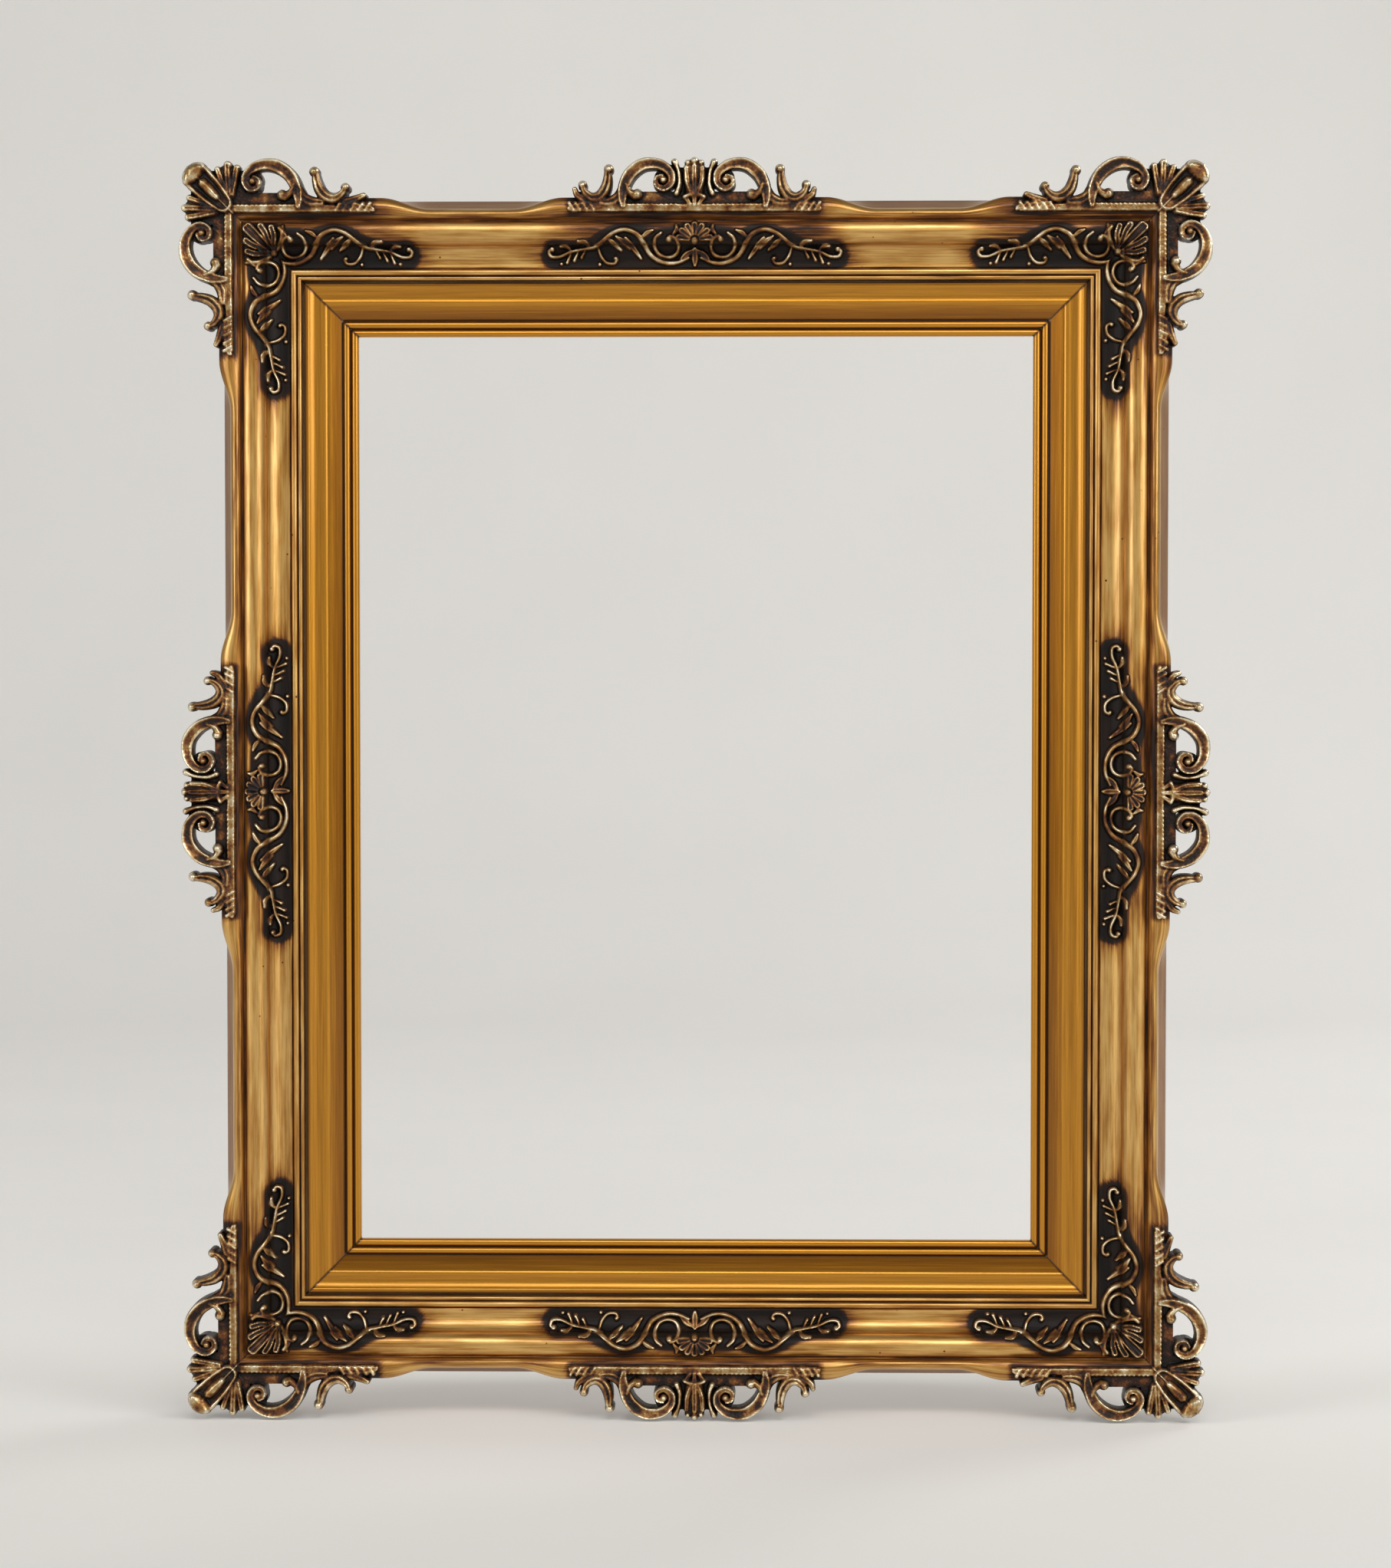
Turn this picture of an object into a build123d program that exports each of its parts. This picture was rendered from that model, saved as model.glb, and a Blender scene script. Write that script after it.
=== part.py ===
from build123d import *
import os

# Ornate gilded picture frame of the swept kind, in millimetres.
# The frame hangs on a wall: +Z is up, +X is to the right as seen from the front and the front faces -Y.
# The back of the moulding lies in the plane y = 0, and the origin is the middle of the top rail's back face.

# Picture and opening
PICTURE_W = 300.0
PICTURE_H = 400.0
PICTURE_LAP = 5.0  # how far the sight edge covers the picture on each side
PICTURE_PLAY = 1.0  # room round the picture in its rebate
PICTURE_REBATE = 8.0  # depth of the rebate for glass, picture and backing

# Slip: widths outward from the sight edge, then heights above the slip's own back
SIGHT_BEAD_W = 3.0
BEAD_GROOVE_W = 0.6
SECOND_BEAD_W = 3.0
SLOPE_W = 7.4
COVE_W = 6.8
SLIP_FILLET_W = 1.6
SLIP_TONGUE_W = 7.3  # the part of the slip that runs under the moulding
SLIP_RECESS = 3.6  # how far the slip's back lies inside the moulding's back plane
SIGHT_LIP_T = 2.2  # thickness of the sight edge below its bead
BEAD_STEP = 0.7  # the second bead stands this much higher than the first
SLOPE_RISE = 6.0
COVE_SAG = 1.0
COVE_RISE = 1.4
TONGUE_DROP = 3.7  # from the slip's outer fillet down to its tongue
SHADOW_GAP = 1.2  # open joint between the slip and the moulding
SLIP_PLAY = 0.3

# Moulding: widths outward from its own sight edge, then heights
MOULD_BEAD_W = 4.6
QUIRK_W = 0.6
QUIRK_D = 0.8
HOLLOW_W = 9.2
OVOLO_W = 9.5
LIP_QUIRK_W = 0.9
LIP_W = 4.9  # lip in the scooped bays
LIP_FLARE = 4.7  # extra lip where it flares out under the crests
BASE_STEP = 0.2  # the base stands this much outside the flared lip
MOULD_LIP_T = 5.0  # moulding above the slip's tongue, at the bead's foot
HOLLOW_SAG = 1.6
HOLLOW_RISE = 3.6
ARRIS_STEP = 1.2
OVOLO_RISE = 3.8  # from the ovolo's foot to its outer edge
LIP_QUIRK_D = 0.9
LIP_RISE = 2.6
LIP_FALL = 3.0
BASE_H = 13.0  # height of the straight base below the lip
SCOOP_H = 23.0  # height of the scooped bay's floor at the lip
SCOOP_RUN = 21.0  # length of the S curve at each end of a bay
SCOOP_MARGIN = 2.0  # plain lip between a crest and the start of a bay
CUT_PAST = 2.0  # how far a cut runs past the wood

# Castings
GLUE_LINE = 0.2
CREST_SEAT = 2.8  # from the lip's quirk out to the inner edge of a crest
CREST_BACK = 25.0
CREST_PLATE = 36.9
CREST_RELIEF = 2.6
CREST_EYE_R = 4.2
CREST_BALL_R = 2.8
CREST_TAIL_W = 1.4
CARTOUCHE_R = 4.2
CARTOUCHE_V = 18.8
FLUTE_R = 0.9
CREST_STRIP_W = 2.5
CREST_BAND_W = 9.0
CREST_SCROLL_R = 10.1
CREST_SCROLL_W = 3.0
CREST_SCROLL_V = 13.2  # scroll centre, outward from the crest's inner edge
CREST_HOLE_W = 5.4
CREST_HOLE_L = 12.0
CENTRE_CREST_HALF = 54.0
CENTRE_SCROLL_U = 21.4
CORNER_CREST_ARM = 60.5
CORNER_SCROLL_U = 17.4
CORNER_BOSS_R = 5.8
CORNER_BOSS_V = 16.6
CORNER_BLOCK = 13.0
SPRAY_WEB_T = 0.9
SPRAY_RELIEF_T = 2.8
SPRAY_HALF = 63.0
SPRAY_STEM_W = 2.0
SPRAY_RING_R = 4.6

# Fasteners of the mitres and the slip
WEDGE_LEG = 7.0
WEDGE_T = 0.8
WEDGE_H = 10.0
WEDGE_SUNK = 0.5
WEDGE_PLAY = 0.05
SLIP_WEDGE_LEG = 5.0
SLIP_WEDGE_H = 7.0
PIN_R = 0.7
PIN_LENGTH = 32.0
PIN_PLAY = 0.05
PIN_SUNK = 0.4

# Turn buttons
BUTTON_T = 1.2
BUTTON_LENGTH = 13.0  # pivot to the centre of the rounded tip
BUTTON_PIVOT_R = 5.5
BUTTON_TIP_R = 3.8
BUTTON_GAP = 0.3
BUTTON_SCREW_R = 1.6
BUTTON_SCREW_LENGTH = 9.0
BUTTON_HEAD_R = 3.2
BUTTON_HEAD_H = 1.4
BUTTON_PLAY = 0.05

# Hangers
STRAP_T = 1.2
STRAP_W = 8.4
STRAP_LENGTH = 15.0  # loop axis to the centre of the rounded outer end
STRAP_SCREW_AT = 11.0  # loop axis to the screw
RING_WIRE_R = 1.2
RING_BAR = 14.0
RING_CORNER_R = 2.6
RING_DEPTH = 12.0
RING_PLAY = 0.05
HANGER_SCREW_R = 1.75
HANGER_SCREW_LENGTH = 12.0
HANGER_HEAD_R = 3.2
HANGER_HEAD_H = 1.5
SCREW_SLOT_W = 0.8
SCREW_SLOT_D = 0.6
SCREW_PLAY = 0.05
HANGER_FROM_TOP = 125.0  # below the top of the opening

os.makedirs("parts", exist_ok=True)

SIGHT_W = PICTURE_W - 2 * PICTURE_LAP
SIGHT_H = PICTURE_H - 2 * PICTURE_LAP

# Slip section, stepped outward from the sight edge
REBATE_WALL = PICTURE_LAP + PICTURE_PLAY
BEAD_2_IN = SIGHT_BEAD_W + BEAD_GROOVE_W
BEAD_2_OUT = BEAD_2_IN + SECOND_BEAD_W
SLOPE_OUT = BEAD_2_OUT + SLOPE_W
COVE_OUT = SLOPE_OUT + COVE_W
SLIP_FACE = COVE_OUT + SLIP_FILLET_W
SLIP_OUT = SLIP_FACE + SLIP_TONGUE_W
LEDGE_H = SLIP_RECESS + PICTURE_REBATE
SIGHT_H_BEAD = LEDGE_H + SIGHT_LIP_T
SECOND_H_BEAD = SIGHT_H_BEAD + BEAD_STEP
SLOPE_TOP = SECOND_H_BEAD + SLOPE_RISE
FILLET_TOP = SLOPE_TOP + COVE_RISE
TONGUE_TOP = FILLET_TOP - TONGUE_DROP

# Moulding section, stepped outward from the shadow gap
MOULD_IN = SLIP_FACE + SHADOW_GAP
MOULD_WALL = SLIP_OUT + SLIP_PLAY
BEAD_OUT = MOULD_IN + MOULD_BEAD_W
HOLLOW_IN = BEAD_OUT + QUIRK_W
ARRIS = HOLLOW_IN + HOLLOW_W
OVOLO_OUT = ARRIS + OVOLO_W
LIP_IN = OVOLO_OUT + LIP_QUIRK_W
SCOOP_LINE = LIP_IN + LIP_W
LIP_OUT = SCOOP_LINE + LIP_FLARE
BASE_OUT = LIP_OUT + BASE_STEP
MOULD_UNDER = TONGUE_TOP + SLIP_PLAY
BEAD_FOOT = MOULD_UNDER + MOULD_LIP_T
HOLLOW_FOOT = BEAD_FOOT + QUIRK_D
ARRIS_H = HOLLOW_FOOT + HOLLOW_RISE
OVOLO_FOOT = ARRIS_H + ARRIS_STEP
OVOLO_END = OVOLO_FOOT + OVOLO_RISE
LIP_FOOT = OVOLO_END - LIP_QUIRK_D
LIP_TOP = LIP_FOOT + LIP_RISE
LIP_EDGE = LIP_TOP - LIP_FALL
CREST_IN = LIP_IN + CREST_SEAT

# Each member lies in a frame of its own: x along it, y outward from the sight edge, z towards the front
RAIL_MID = (MOULD_WALL + BASE_OUT) / 2
CENTRE_Z = -(SIGHT_H / 2 + RAIL_MID)
FRONT = (0, -1, 0)
TURNS = {"top": (1, 0, 0), "left": (0, 0, 1), "bottom": (-1, 0, 0), "right": (0, 0, -1)}
SPANS = {"top": SIGHT_W, "left": SIGHT_H, "bottom": SIGHT_W, "right": SIGHT_H}
EDGES = {
    "top": (0, 0, CENTRE_Z + SIGHT_H / 2),
    "left": (-SIGHT_W / 2, 0, CENTRE_Z),
    "bottom": (0, 0, CENTRE_Z - SIGHT_H / 2),
    "right": (SIGHT_W / 2, 0, CENTRE_Z),
}
MEMBERS = {side: Plane(EDGES[side], x_dir=TURNS[side], z_dir=FRONT) for side in TURNS}

# Each corner lies in a frame whose x and y both run outward from the corner of the opening
CORNERS = {
    "top_right": Plane((SIGHT_W / 2, 0, CENTRE_Z + SIGHT_H / 2), x_dir=TURNS["top"], z_dir=FRONT),
    "top_left": Plane((-SIGHT_W / 2, 0, CENTRE_Z + SIGHT_H / 2), x_dir=TURNS["left"], z_dir=FRONT),
    "bottom_left": Plane((-SIGHT_W / 2, 0, CENTRE_Z - SIGHT_H / 2), x_dir=TURNS["bottom"], z_dir=FRONT),
    "bottom_right": Plane((SIGHT_W / 2, 0, CENTRE_Z - SIGHT_H / 2), x_dir=TURNS["right"], z_dir=FRONT),
}
DIAGONAL = Plane((0, 0, 0), x_dir=(1, 1, 0), z_dir=(1, -1, 0))
FAR = 4 * (BASE_OUT + SPRAY_HALF)  # longer than any corner casting
DOME = (Align.CENTER, Align.CENTER, Align.MIN)  # a half ball stands on its flat side


def write(piece, name):
    """Labels a finished piece and writes it as its own file."""
    piece.label = name
    export_step(piece, f"parts/{name}.step")


def rail_section(at):
    """Closed section of the moulding, at a place along the member: outward, then from back to front."""
    with BuildSketch(Plane.YZ.offset(at), mode=Mode.PRIVATE) as section:
        with BuildLine():
            Polyline((MOULD_WALL, 0), (MOULD_WALL, MOULD_UNDER), (MOULD_IN, MOULD_UNDER), (MOULD_IN, BEAD_FOOT))
            TangentArc((MOULD_IN, BEAD_FOOT), (BEAD_OUT, BEAD_FOOT + QUIRK_D), tangent=(0, 1))
            Polyline((BEAD_OUT, BEAD_FOOT + QUIRK_D), (BEAD_OUT, BEAD_FOOT), (HOLLOW_IN, HOLLOW_FOOT))
            hollow_low = ((HOLLOW_IN + ARRIS) / 2, (HOLLOW_FOOT + ARRIS_H) / 2 - HOLLOW_SAG)
            ThreePointArc((HOLLOW_IN, HOLLOW_FOOT), hollow_low, (ARRIS, ARRIS_H))
            Line((ARRIS, ARRIS_H), (ARRIS, OVOLO_FOOT))
            TangentArc((ARRIS, OVOLO_FOOT), (OVOLO_OUT, OVOLO_END), tangent=(0, 1))
            Polyline((OVOLO_OUT, OVOLO_END), (OVOLO_OUT, LIP_FOOT), (LIP_IN, LIP_FOOT))
            lip_crown = (LIP_IN + LIP_W * 0.8, LIP_TOP)
            ThreePointArc((LIP_IN, LIP_FOOT), lip_crown, (LIP_OUT, LIP_EDGE))
            Polyline((LIP_OUT, LIP_EDGE), (BASE_OUT, BASE_H), (BASE_OUT, 0), (MOULD_WALL, 0))
        make_face()
    return section.sketch


def slip_section(at):
    """Closed section of the slip, in the same way."""
    with BuildSketch(Plane.YZ.offset(at), mode=Mode.PRIVATE) as section:
        with BuildLine():
            Polyline(
                (REBATE_WALL, SLIP_RECESS), (REBATE_WALL, LEDGE_H), (0, LEDGE_H), (0, SIGHT_H_BEAD)
            )
            TangentArc((0, SIGHT_H_BEAD), (SIGHT_BEAD_W, SIGHT_H_BEAD + BEAD_STEP), tangent=(0, 1))
            Polyline(
                (SIGHT_BEAD_W, SIGHT_H_BEAD + BEAD_STEP),
                (SIGHT_BEAD_W, SIGHT_H_BEAD),
                (BEAD_2_IN, SIGHT_H_BEAD),
                (BEAD_2_IN, SECOND_H_BEAD),
            )
            TangentArc((BEAD_2_IN, SECOND_H_BEAD), (BEAD_2_OUT, SECOND_H_BEAD), tangent=(0, 1))
            Line((BEAD_2_OUT, SECOND_H_BEAD), (SLOPE_OUT, SLOPE_TOP))
            cove_low = ((SLOPE_OUT + COVE_OUT) / 2, (SLOPE_TOP + FILLET_TOP) / 2 - COVE_SAG)
            ThreePointArc((SLOPE_OUT, SLOPE_TOP), cove_low, (COVE_OUT, FILLET_TOP))
            Polyline(
                (COVE_OUT, FILLET_TOP),
                (SLIP_FACE, FILLET_TOP),
                (SLIP_FACE, TONGUE_TOP),
                (SLIP_OUT, TONGUE_TOP),
                (SLIP_OUT, SLIP_RECESS),
                (REBATE_WALL, SLIP_RECESS),
            )
        make_face()
    return section.sketch


def mitre_planes(span):
    """The two mitre cuts of a member, each facing back along the member."""
    right = Plane((span / 2, 0, 0), x_dir=(1, 1, 0), z_dir=(-1, 1, 0))
    left = Plane((-span / 2, 0, 0), x_dir=(-1, 1, 0), z_dir=(1, 1, 0))
    return right, left


def wedge_legs(at, leg, thickness):
    """Two strips that meet on the mitre and run into one member each, in a corner's frame."""
    with BuildSketch(mode=Mode.PRIVATE) as legs:
        with Locations((at, at)):
            Rectangle(leg, thickness, align=(Align.MAX, Align.CENTER))
            Rectangle(thickness, leg, align=(Align.CENTER, Align.MAX))
            Rectangle(thickness, thickness)
    return legs.sketch


WEDGE_PLACES = (MOULD_WALL + WEDGE_LEG + 1, BASE_OUT - WEDGE_LEG)
SLIP_WEDGE_PLACE = SLIP_OUT - SLIP_WEDGE_LEG

# Moulding wedges: two across each mitre, sunk in the back. The pockets are the wedges with a little play.
with BuildPart() as corner_wedges:
    for place in WEDGE_PLACES:
        with BuildSketch(Plane.XY.offset(WEDGE_SUNK)):
            add(wedge_legs(place, WEDGE_LEG, WEDGE_T))
        extrude(amount=WEDGE_H)
with BuildPart() as wedge_pockets:
    for place in WEDGE_PLACES:
        with BuildSketch(Plane.XY):
            add(wedge_legs(place, WEDGE_LEG + 2 * WEDGE_PLAY, WEDGE_T + 2 * WEDGE_PLAY))
        extrude(amount=WEDGE_SUNK + WEDGE_H + WEDGE_PLAY)

# Slip wedges: one across each mitre of the slip
with BuildPart() as slip_corner_wedge:
    with BuildSketch(Plane.XY.offset(SLIP_RECESS + WEDGE_SUNK)):
        add(wedge_legs(SLIP_WEDGE_PLACE, SLIP_WEDGE_LEG, WEDGE_T))
    extrude(amount=SLIP_WEDGE_H)
with BuildPart() as slip_wedge_pocket:
    with BuildSketch(Plane.XY.offset(SLIP_RECESS)):
        add(wedge_legs(SLIP_WEDGE_PLACE, SLIP_WEDGE_LEG + 2 * WEDGE_PLAY, WEDGE_T + 2 * WEDGE_PLAY))
    extrude(amount=WEDGE_SUNK + SLIP_WEDGE_H + WEDGE_PLAY)

with BuildPart() as mitre_wedges:
    for corner in CORNERS.values():
        add(corner.location * corner_wedges.part)
with BuildPart() as slip_wedges:
    for corner in CORNERS.values():
        add(corner.location * slip_corner_wedge.part)

# Panel pins: driven from the slip's rebate outward into the moulding, clear of the turn buttons' screws
PIN_H = SLIP_RECESS + PICTURE_REBATE * 0.55
PIN_SHARES = {"top": (-0.3, 0.3), "bottom": (-0.3, 0.3), "left": (-0.36, 0, 0.36), "right": (-0.36, 0, 0.36)}


def pin_places(side):
    """Centres of a member's pins, at the rebate wall, in the member's frame."""
    return [(share * SPANS[side], REBATE_WALL, PIN_H) for share in PIN_SHARES[side]]


def pin_bar(side, radius, start, length):
    """The member's pins as bars of a radius, from a start beyond the rebate wall."""
    with BuildPart() as bars:
        for x, y, z in pin_places(side):
            with BuildSketch(Plane((x, y + start, z), x_dir=(1, 0, 0), z_dir=(0, 1, 0))):
                Circle(radius)
            extrude(amount=length)
    return bars.part


pins = [member.location * pin_bar(side, PIN_R, PIN_SUNK, PIN_LENGTH) for side, member in MEMBERS.items()]
with BuildPart() as slip_pins:
    add(pins)

# Turn buttons: where they sit on the slip's back, and the screws they turn on
BUTTON_AT = (REBATE_WALL + SLIP_OUT) / 2
BUTTON_SHARES = {"top": (0,), "left": (-0.25, 0.25), "bottom": (0,), "right": (-0.25, 0.25)}
BUTTON_FACE = SLIP_RECESS - BUTTON_GAP
HEAD_UNDER = BUTTON_FACE - BUTTON_T - BUTTON_GAP / 2


def button_places(side):
    """Pivots of a member's turn buttons, along the member."""
    return [share * SPANS[side] for share in BUTTON_SHARES[side]]


def screw(radius, length, head_r, head_h):
    """A slotted screw whose head bears on z = 0, with the head below that plane and the shank above it."""
    with BuildPart() as made:
        with BuildSketch(Plane.XY.offset(-head_h)):
            Circle(head_r)
        extrude(amount=head_h)
        fillet(made.edges().sort_by(Axis.Z)[0], head_h * 0.7)
        with BuildSketch(Plane.XY.offset(-head_h)):
            Rectangle(3 * head_r, SCREW_SLOT_W)
        extrude(amount=SCREW_SLOT_D, mode=Mode.SUBTRACT)
        with BuildSketch(Plane.XY):
            Circle(radius)
        extrude(amount=length)
        chamfer(made.edges().sort_by(Axis.Z)[-1], radius * 0.6)
    return made.part


button_screw = screw(BUTTON_SCREW_R, BUTTON_SCREW_LENGTH, BUTTON_HEAD_R, BUTTON_HEAD_H)
with BuildPart() as turn_button_screws:
    for side, member in MEMBERS.items():
        for x in button_places(side):
            add((member * Pos(x, BUTTON_AT, HEAD_UNDER)) * button_screw)

# A turn button lies along its member at rest, clear of the opening, and turns in over the rebate
with BuildPart() as button:
    with BuildSketch(Plane.XY.offset(BUTTON_FACE - BUTTON_T)):
        Circle(BUTTON_PIVOT_R)
        with Locations((BUTTON_LENGTH, 0)):
            Circle(BUTTON_TIP_R)
        make_hull()
        Circle(BUTTON_SCREW_R + BUTTON_PLAY, mode=Mode.SUBTRACT)
    extrude(amount=BUTTON_T)

button_count = 0
for side, member in MEMBERS.items():
    for x in button_places(side):
        button_count += 1
        with BuildPart() as turn_button:
            add((member * Pos(x, BUTTON_AT, 0)) * button.part)
        write(turn_button.part, f"turn_button_{button_count}")

# Hangers: straps lie across the back of the side rails with their loops towards the opening
STRAP_LOOP_R = RING_WIRE_R + RING_PLAY + STRAP_T
HANGER_RUN = STRAP_LENGTH + STRAP_W / 2 + STRAP_LOOP_R
LOOP_AT = RAIL_MID - HANGER_RUN / 2 + STRAP_LOOP_R
HANGER_UP = SIGHT_H / 2 - HANGER_FROM_TOP
HANGER_X = {"left": HANGER_UP, "right": -HANGER_UP}

with BuildPart() as strap:
    with BuildSketch(Plane.XY):
        SlotCenterToCenter(STRAP_LENGTH, STRAP_W, rotation=90)
        with Locations((0, -STRAP_LENGTH / 2)):
            Rectangle(STRAP_W, STRAP_W, align=(Align.CENTER, Align.MAX), mode=Mode.SUBTRACT)
        with Locations((0, STRAP_SCREW_AT - STRAP_LENGTH / 2)):
            Circle(HANGER_SCREW_R + SCREW_PLAY, mode=Mode.SUBTRACT)
    extrude(amount=-STRAP_T)
    loop_plane = Plane((0, -STRAP_LENGTH / 2, -STRAP_LOOP_R), x_dir=(0, 1, 0), z_dir=(1, 0, 0))
    with BuildSketch(loop_plane):
        Circle(STRAP_LOOP_R)
    extrude(amount=STRAP_W / 2, both=True)
    with BuildSketch(loop_plane):
        Circle(RING_WIRE_R + RING_PLAY)
    extrude(amount=STRAP_W / 2, both=True, mode=Mode.SUBTRACT)

# The D-ring is one bent wire: a straight bar in the loop, two short legs and a round bow
with BuildPart() as ring:
    with BuildLine(Plane.XY.offset(-STRAP_LOOP_R)) as wire:
        half = RING_BAR / 2
        leg = RING_DEPTH - half
        Line((half - RING_CORNER_R, 0), (RING_CORNER_R - half, 0))
        RadiusArc((RING_CORNER_R - half, 0), (-half, -RING_CORNER_R), -RING_CORNER_R)
        Line((-half, -RING_CORNER_R), (-half, -leg))
        ThreePointArc((-half, -leg), (0, -RING_DEPTH), (half, -leg))
        Line((half, -leg), (half, -RING_CORNER_R))
        RadiusArc((half, -RING_CORNER_R), (half - RING_CORNER_R, 0), -RING_CORNER_R)
    with BuildSketch(Plane((0, 0, -STRAP_LOOP_R), x_dir=(0, 1, 0), z_dir=(1, 0, 0))):
        Circle(RING_WIRE_R)
    sweep(path=wire.wires()[0])

hanger_screw = screw(HANGER_SCREW_R, HANGER_SCREW_LENGTH, HANGER_HEAD_R, HANGER_HEAD_H)
with BuildPart() as hanger_screws:
    for side, x in HANGER_X.items():
        add((MEMBERS[side] * Pos(x, LOOP_AT + STRAP_SCREW_AT, -STRAP_T)) * hanger_screw)
for side, x in HANGER_X.items():
    with BuildPart() as hanger_strap:
        add((MEMBERS[side] * Pos(x, LOOP_AT + STRAP_LENGTH / 2, 0)) * strap.part)
    write(hanger_strap.part, f"hanger_strap_{side}")
    with BuildPart() as hanger_ring:
        add((MEMBERS[side] * Pos(x, LOOP_AT, 0)) * ring.part)
    write(hanger_ring.part, f"hanger_ring_{side}")

# Moulding rails: the section run along the side, mitred, with a scooped bay on each side of the centre crest


def bay(start, end):
    """Outline of a scooped bay: an S curve in, a straight run along the scoop line and an S curve out."""
    mid = (LIP_OUT + SCOOP_LINE) / 2
    outside = BASE_OUT + CUT_PAST
    with BuildSketch(mode=Mode.PRIVATE) as outline:
        with BuildLine():
            into = TangentArc((start, LIP_OUT), (start + SCOOP_RUN / 2, mid), tangent=(1, 0))
            TangentArc(into @ 1, (start + SCOOP_RUN, SCOOP_LINE), tangent=into % 1)
            Line((start + SCOOP_RUN, SCOOP_LINE), (end - SCOOP_RUN, SCOOP_LINE))
            out = TangentArc((end - SCOOP_RUN, SCOOP_LINE), (end - SCOOP_RUN / 2, mid), tangent=(1, 0))
            TangentArc(out @ 1, (end, LIP_OUT), tangent=out % 1)
            Polyline((end, LIP_OUT), (end, outside), (start, outside), (start, LIP_OUT))
        make_face()
    return outline.sketch


def bays(span):
    """What is cut from a rail's lip: two bays, down to a floor that slopes to the base."""
    start = CENTRE_CREST_HALF + SCOOP_MARGIN
    end = span / 2 + CREST_IN - CORNER_CREST_ARM - SCOOP_MARGIN
    fall = (SCOOP_H - BASE_H) / (BASE_OUT - SCOOP_LINE)
    with BuildPart() as cut:
        with BuildSketch(Plane.XY):
            add(bay(start, end))
            add(bay(-end, -start))
        extrude(amount=LIP_TOP + LIP_RISE)
        with BuildSketch(Plane.YZ):
            with BuildLine():
                Polyline(
                    (LIP_IN, SCOOP_H + fall * LIP_W),
                    (BASE_OUT + 2 * CUT_PAST, BASE_H - fall * 2 * CUT_PAST),
                    (BASE_OUT + 2 * CUT_PAST, 0),
                    (LIP_IN, 0),
                    close=True,
                )
            make_face()
        extrude(amount=span, both=True, mode=Mode.SUBTRACT)
    return cut.part


for side, member in MEMBERS.items():
    span = SPANS[side]
    bay_cuts = bays(span)
    pin_holes = pin_bar(side, PIN_R + PIN_PLAY, 0, PIN_SUNK + PIN_LENGTH + PIN_PLAY)
    with BuildPart() as rail:
        extrude(rail_section(-span / 2 - BASE_OUT), amount=span + 2 * BASE_OUT)
        for mitre in mitre_planes(span):
            split(bisect_by=mitre)
        add(bay_cuts, mode=Mode.SUBTRACT)
        # Pockets for the wedges at both mitres, and holes for the pins and the hanger screws
        for turn, edge in ((1, span / 2), (0, -span / 2)):
            corner = Plane((edge, 0, 0), x_dir=(1, 0, 0) if turn else (0, 1, 0), z_dir=(0, 0, 1))
            add(corner.location * wedge_pockets.part, mode=Mode.SUBTRACT)
        add(pin_holes, mode=Mode.SUBTRACT)
        if side in HANGER_X:
            with BuildSketch(Plane((HANGER_X[side], LOOP_AT + STRAP_SCREW_AT, 0))):
                Circle(HANGER_SCREW_R + SCREW_PLAY)
            extrude(amount=HANGER_SCREW_LENGTH, mode=Mode.SUBTRACT)
    write(member.location * rail.part, f"{side}_rail")

# Slip members, mitred in the same way
for side, member in MEMBERS.items():
    span = SPANS[side]
    pin_holes = pin_bar(side, PIN_R + PIN_PLAY, 0, SLIP_OUT)
    with BuildPart() as slip:
        extrude(slip_section(-span / 2 - SLIP_OUT), amount=span + 2 * SLIP_OUT)
        for mitre in mitre_planes(span):
            split(bisect_by=mitre)
        for turn, edge in ((1, span / 2), (0, -span / 2)):
            corner = Plane((edge, 0, 0), x_dir=(1, 0, 0) if turn else (0, 1, 0), z_dir=(0, 0, 1))
            add(corner.location * slip_wedge_pocket.part, mode=Mode.SUBTRACT)
        add(pin_holes, mode=Mode.SUBTRACT)
        for x in button_places(side):
            with BuildSketch(Plane((x, BUTTON_AT, SLIP_RECESS))):
                Circle(BUTTON_SCREW_R + SCREW_PLAY)
            extrude(amount=BUTTON_SCREW_LENGTH, mode=Mode.SUBTRACT)
    write(member.location * slip.part, f"slip_{side}")

write(mitre_wedges.part, "mitre_wedges")
write(slip_wedges.part, "slip_wedges")
write(slip_pins.part, "slip_pins")
write(turn_button_screws.part, "turn_button_screws")
write(hanger_screws.part, "hanger_screws")

# Castings: beds that fit the moulding. A lift raises the moulding's face towards the front.


def straight_bed(lift):
    """Moulding without bays, raised by a lift, long enough for a centre casting."""
    with BuildPart() as bed:
        extrude(rail_section(-FAR / 2), amount=FAR)
    return Pos(0, 0, lift) * bed.part


def corner_bed(lift):
    """The same round a corner, mitred."""
    with BuildPart() as bed:
        extrude(rail_section(-FAR / 2), amount=FAR)
        split(bisect_by=DIAGONAL, keep=Keep.BOTTOM)
        mirror(about=DIAGONAL)
    return Pos(0, 0, lift) * bed.part


def finger(base, base_r, tip, tip_r):
    """A tapering lobe between two round ends."""
    with BuildSketch(mode=Mode.PRIVATE) as lobe:
        with Locations(base):
            Circle(base_r)
        with Locations(tip):
            Circle(tip_r)
        make_hull()
    return lobe.sketch


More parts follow.
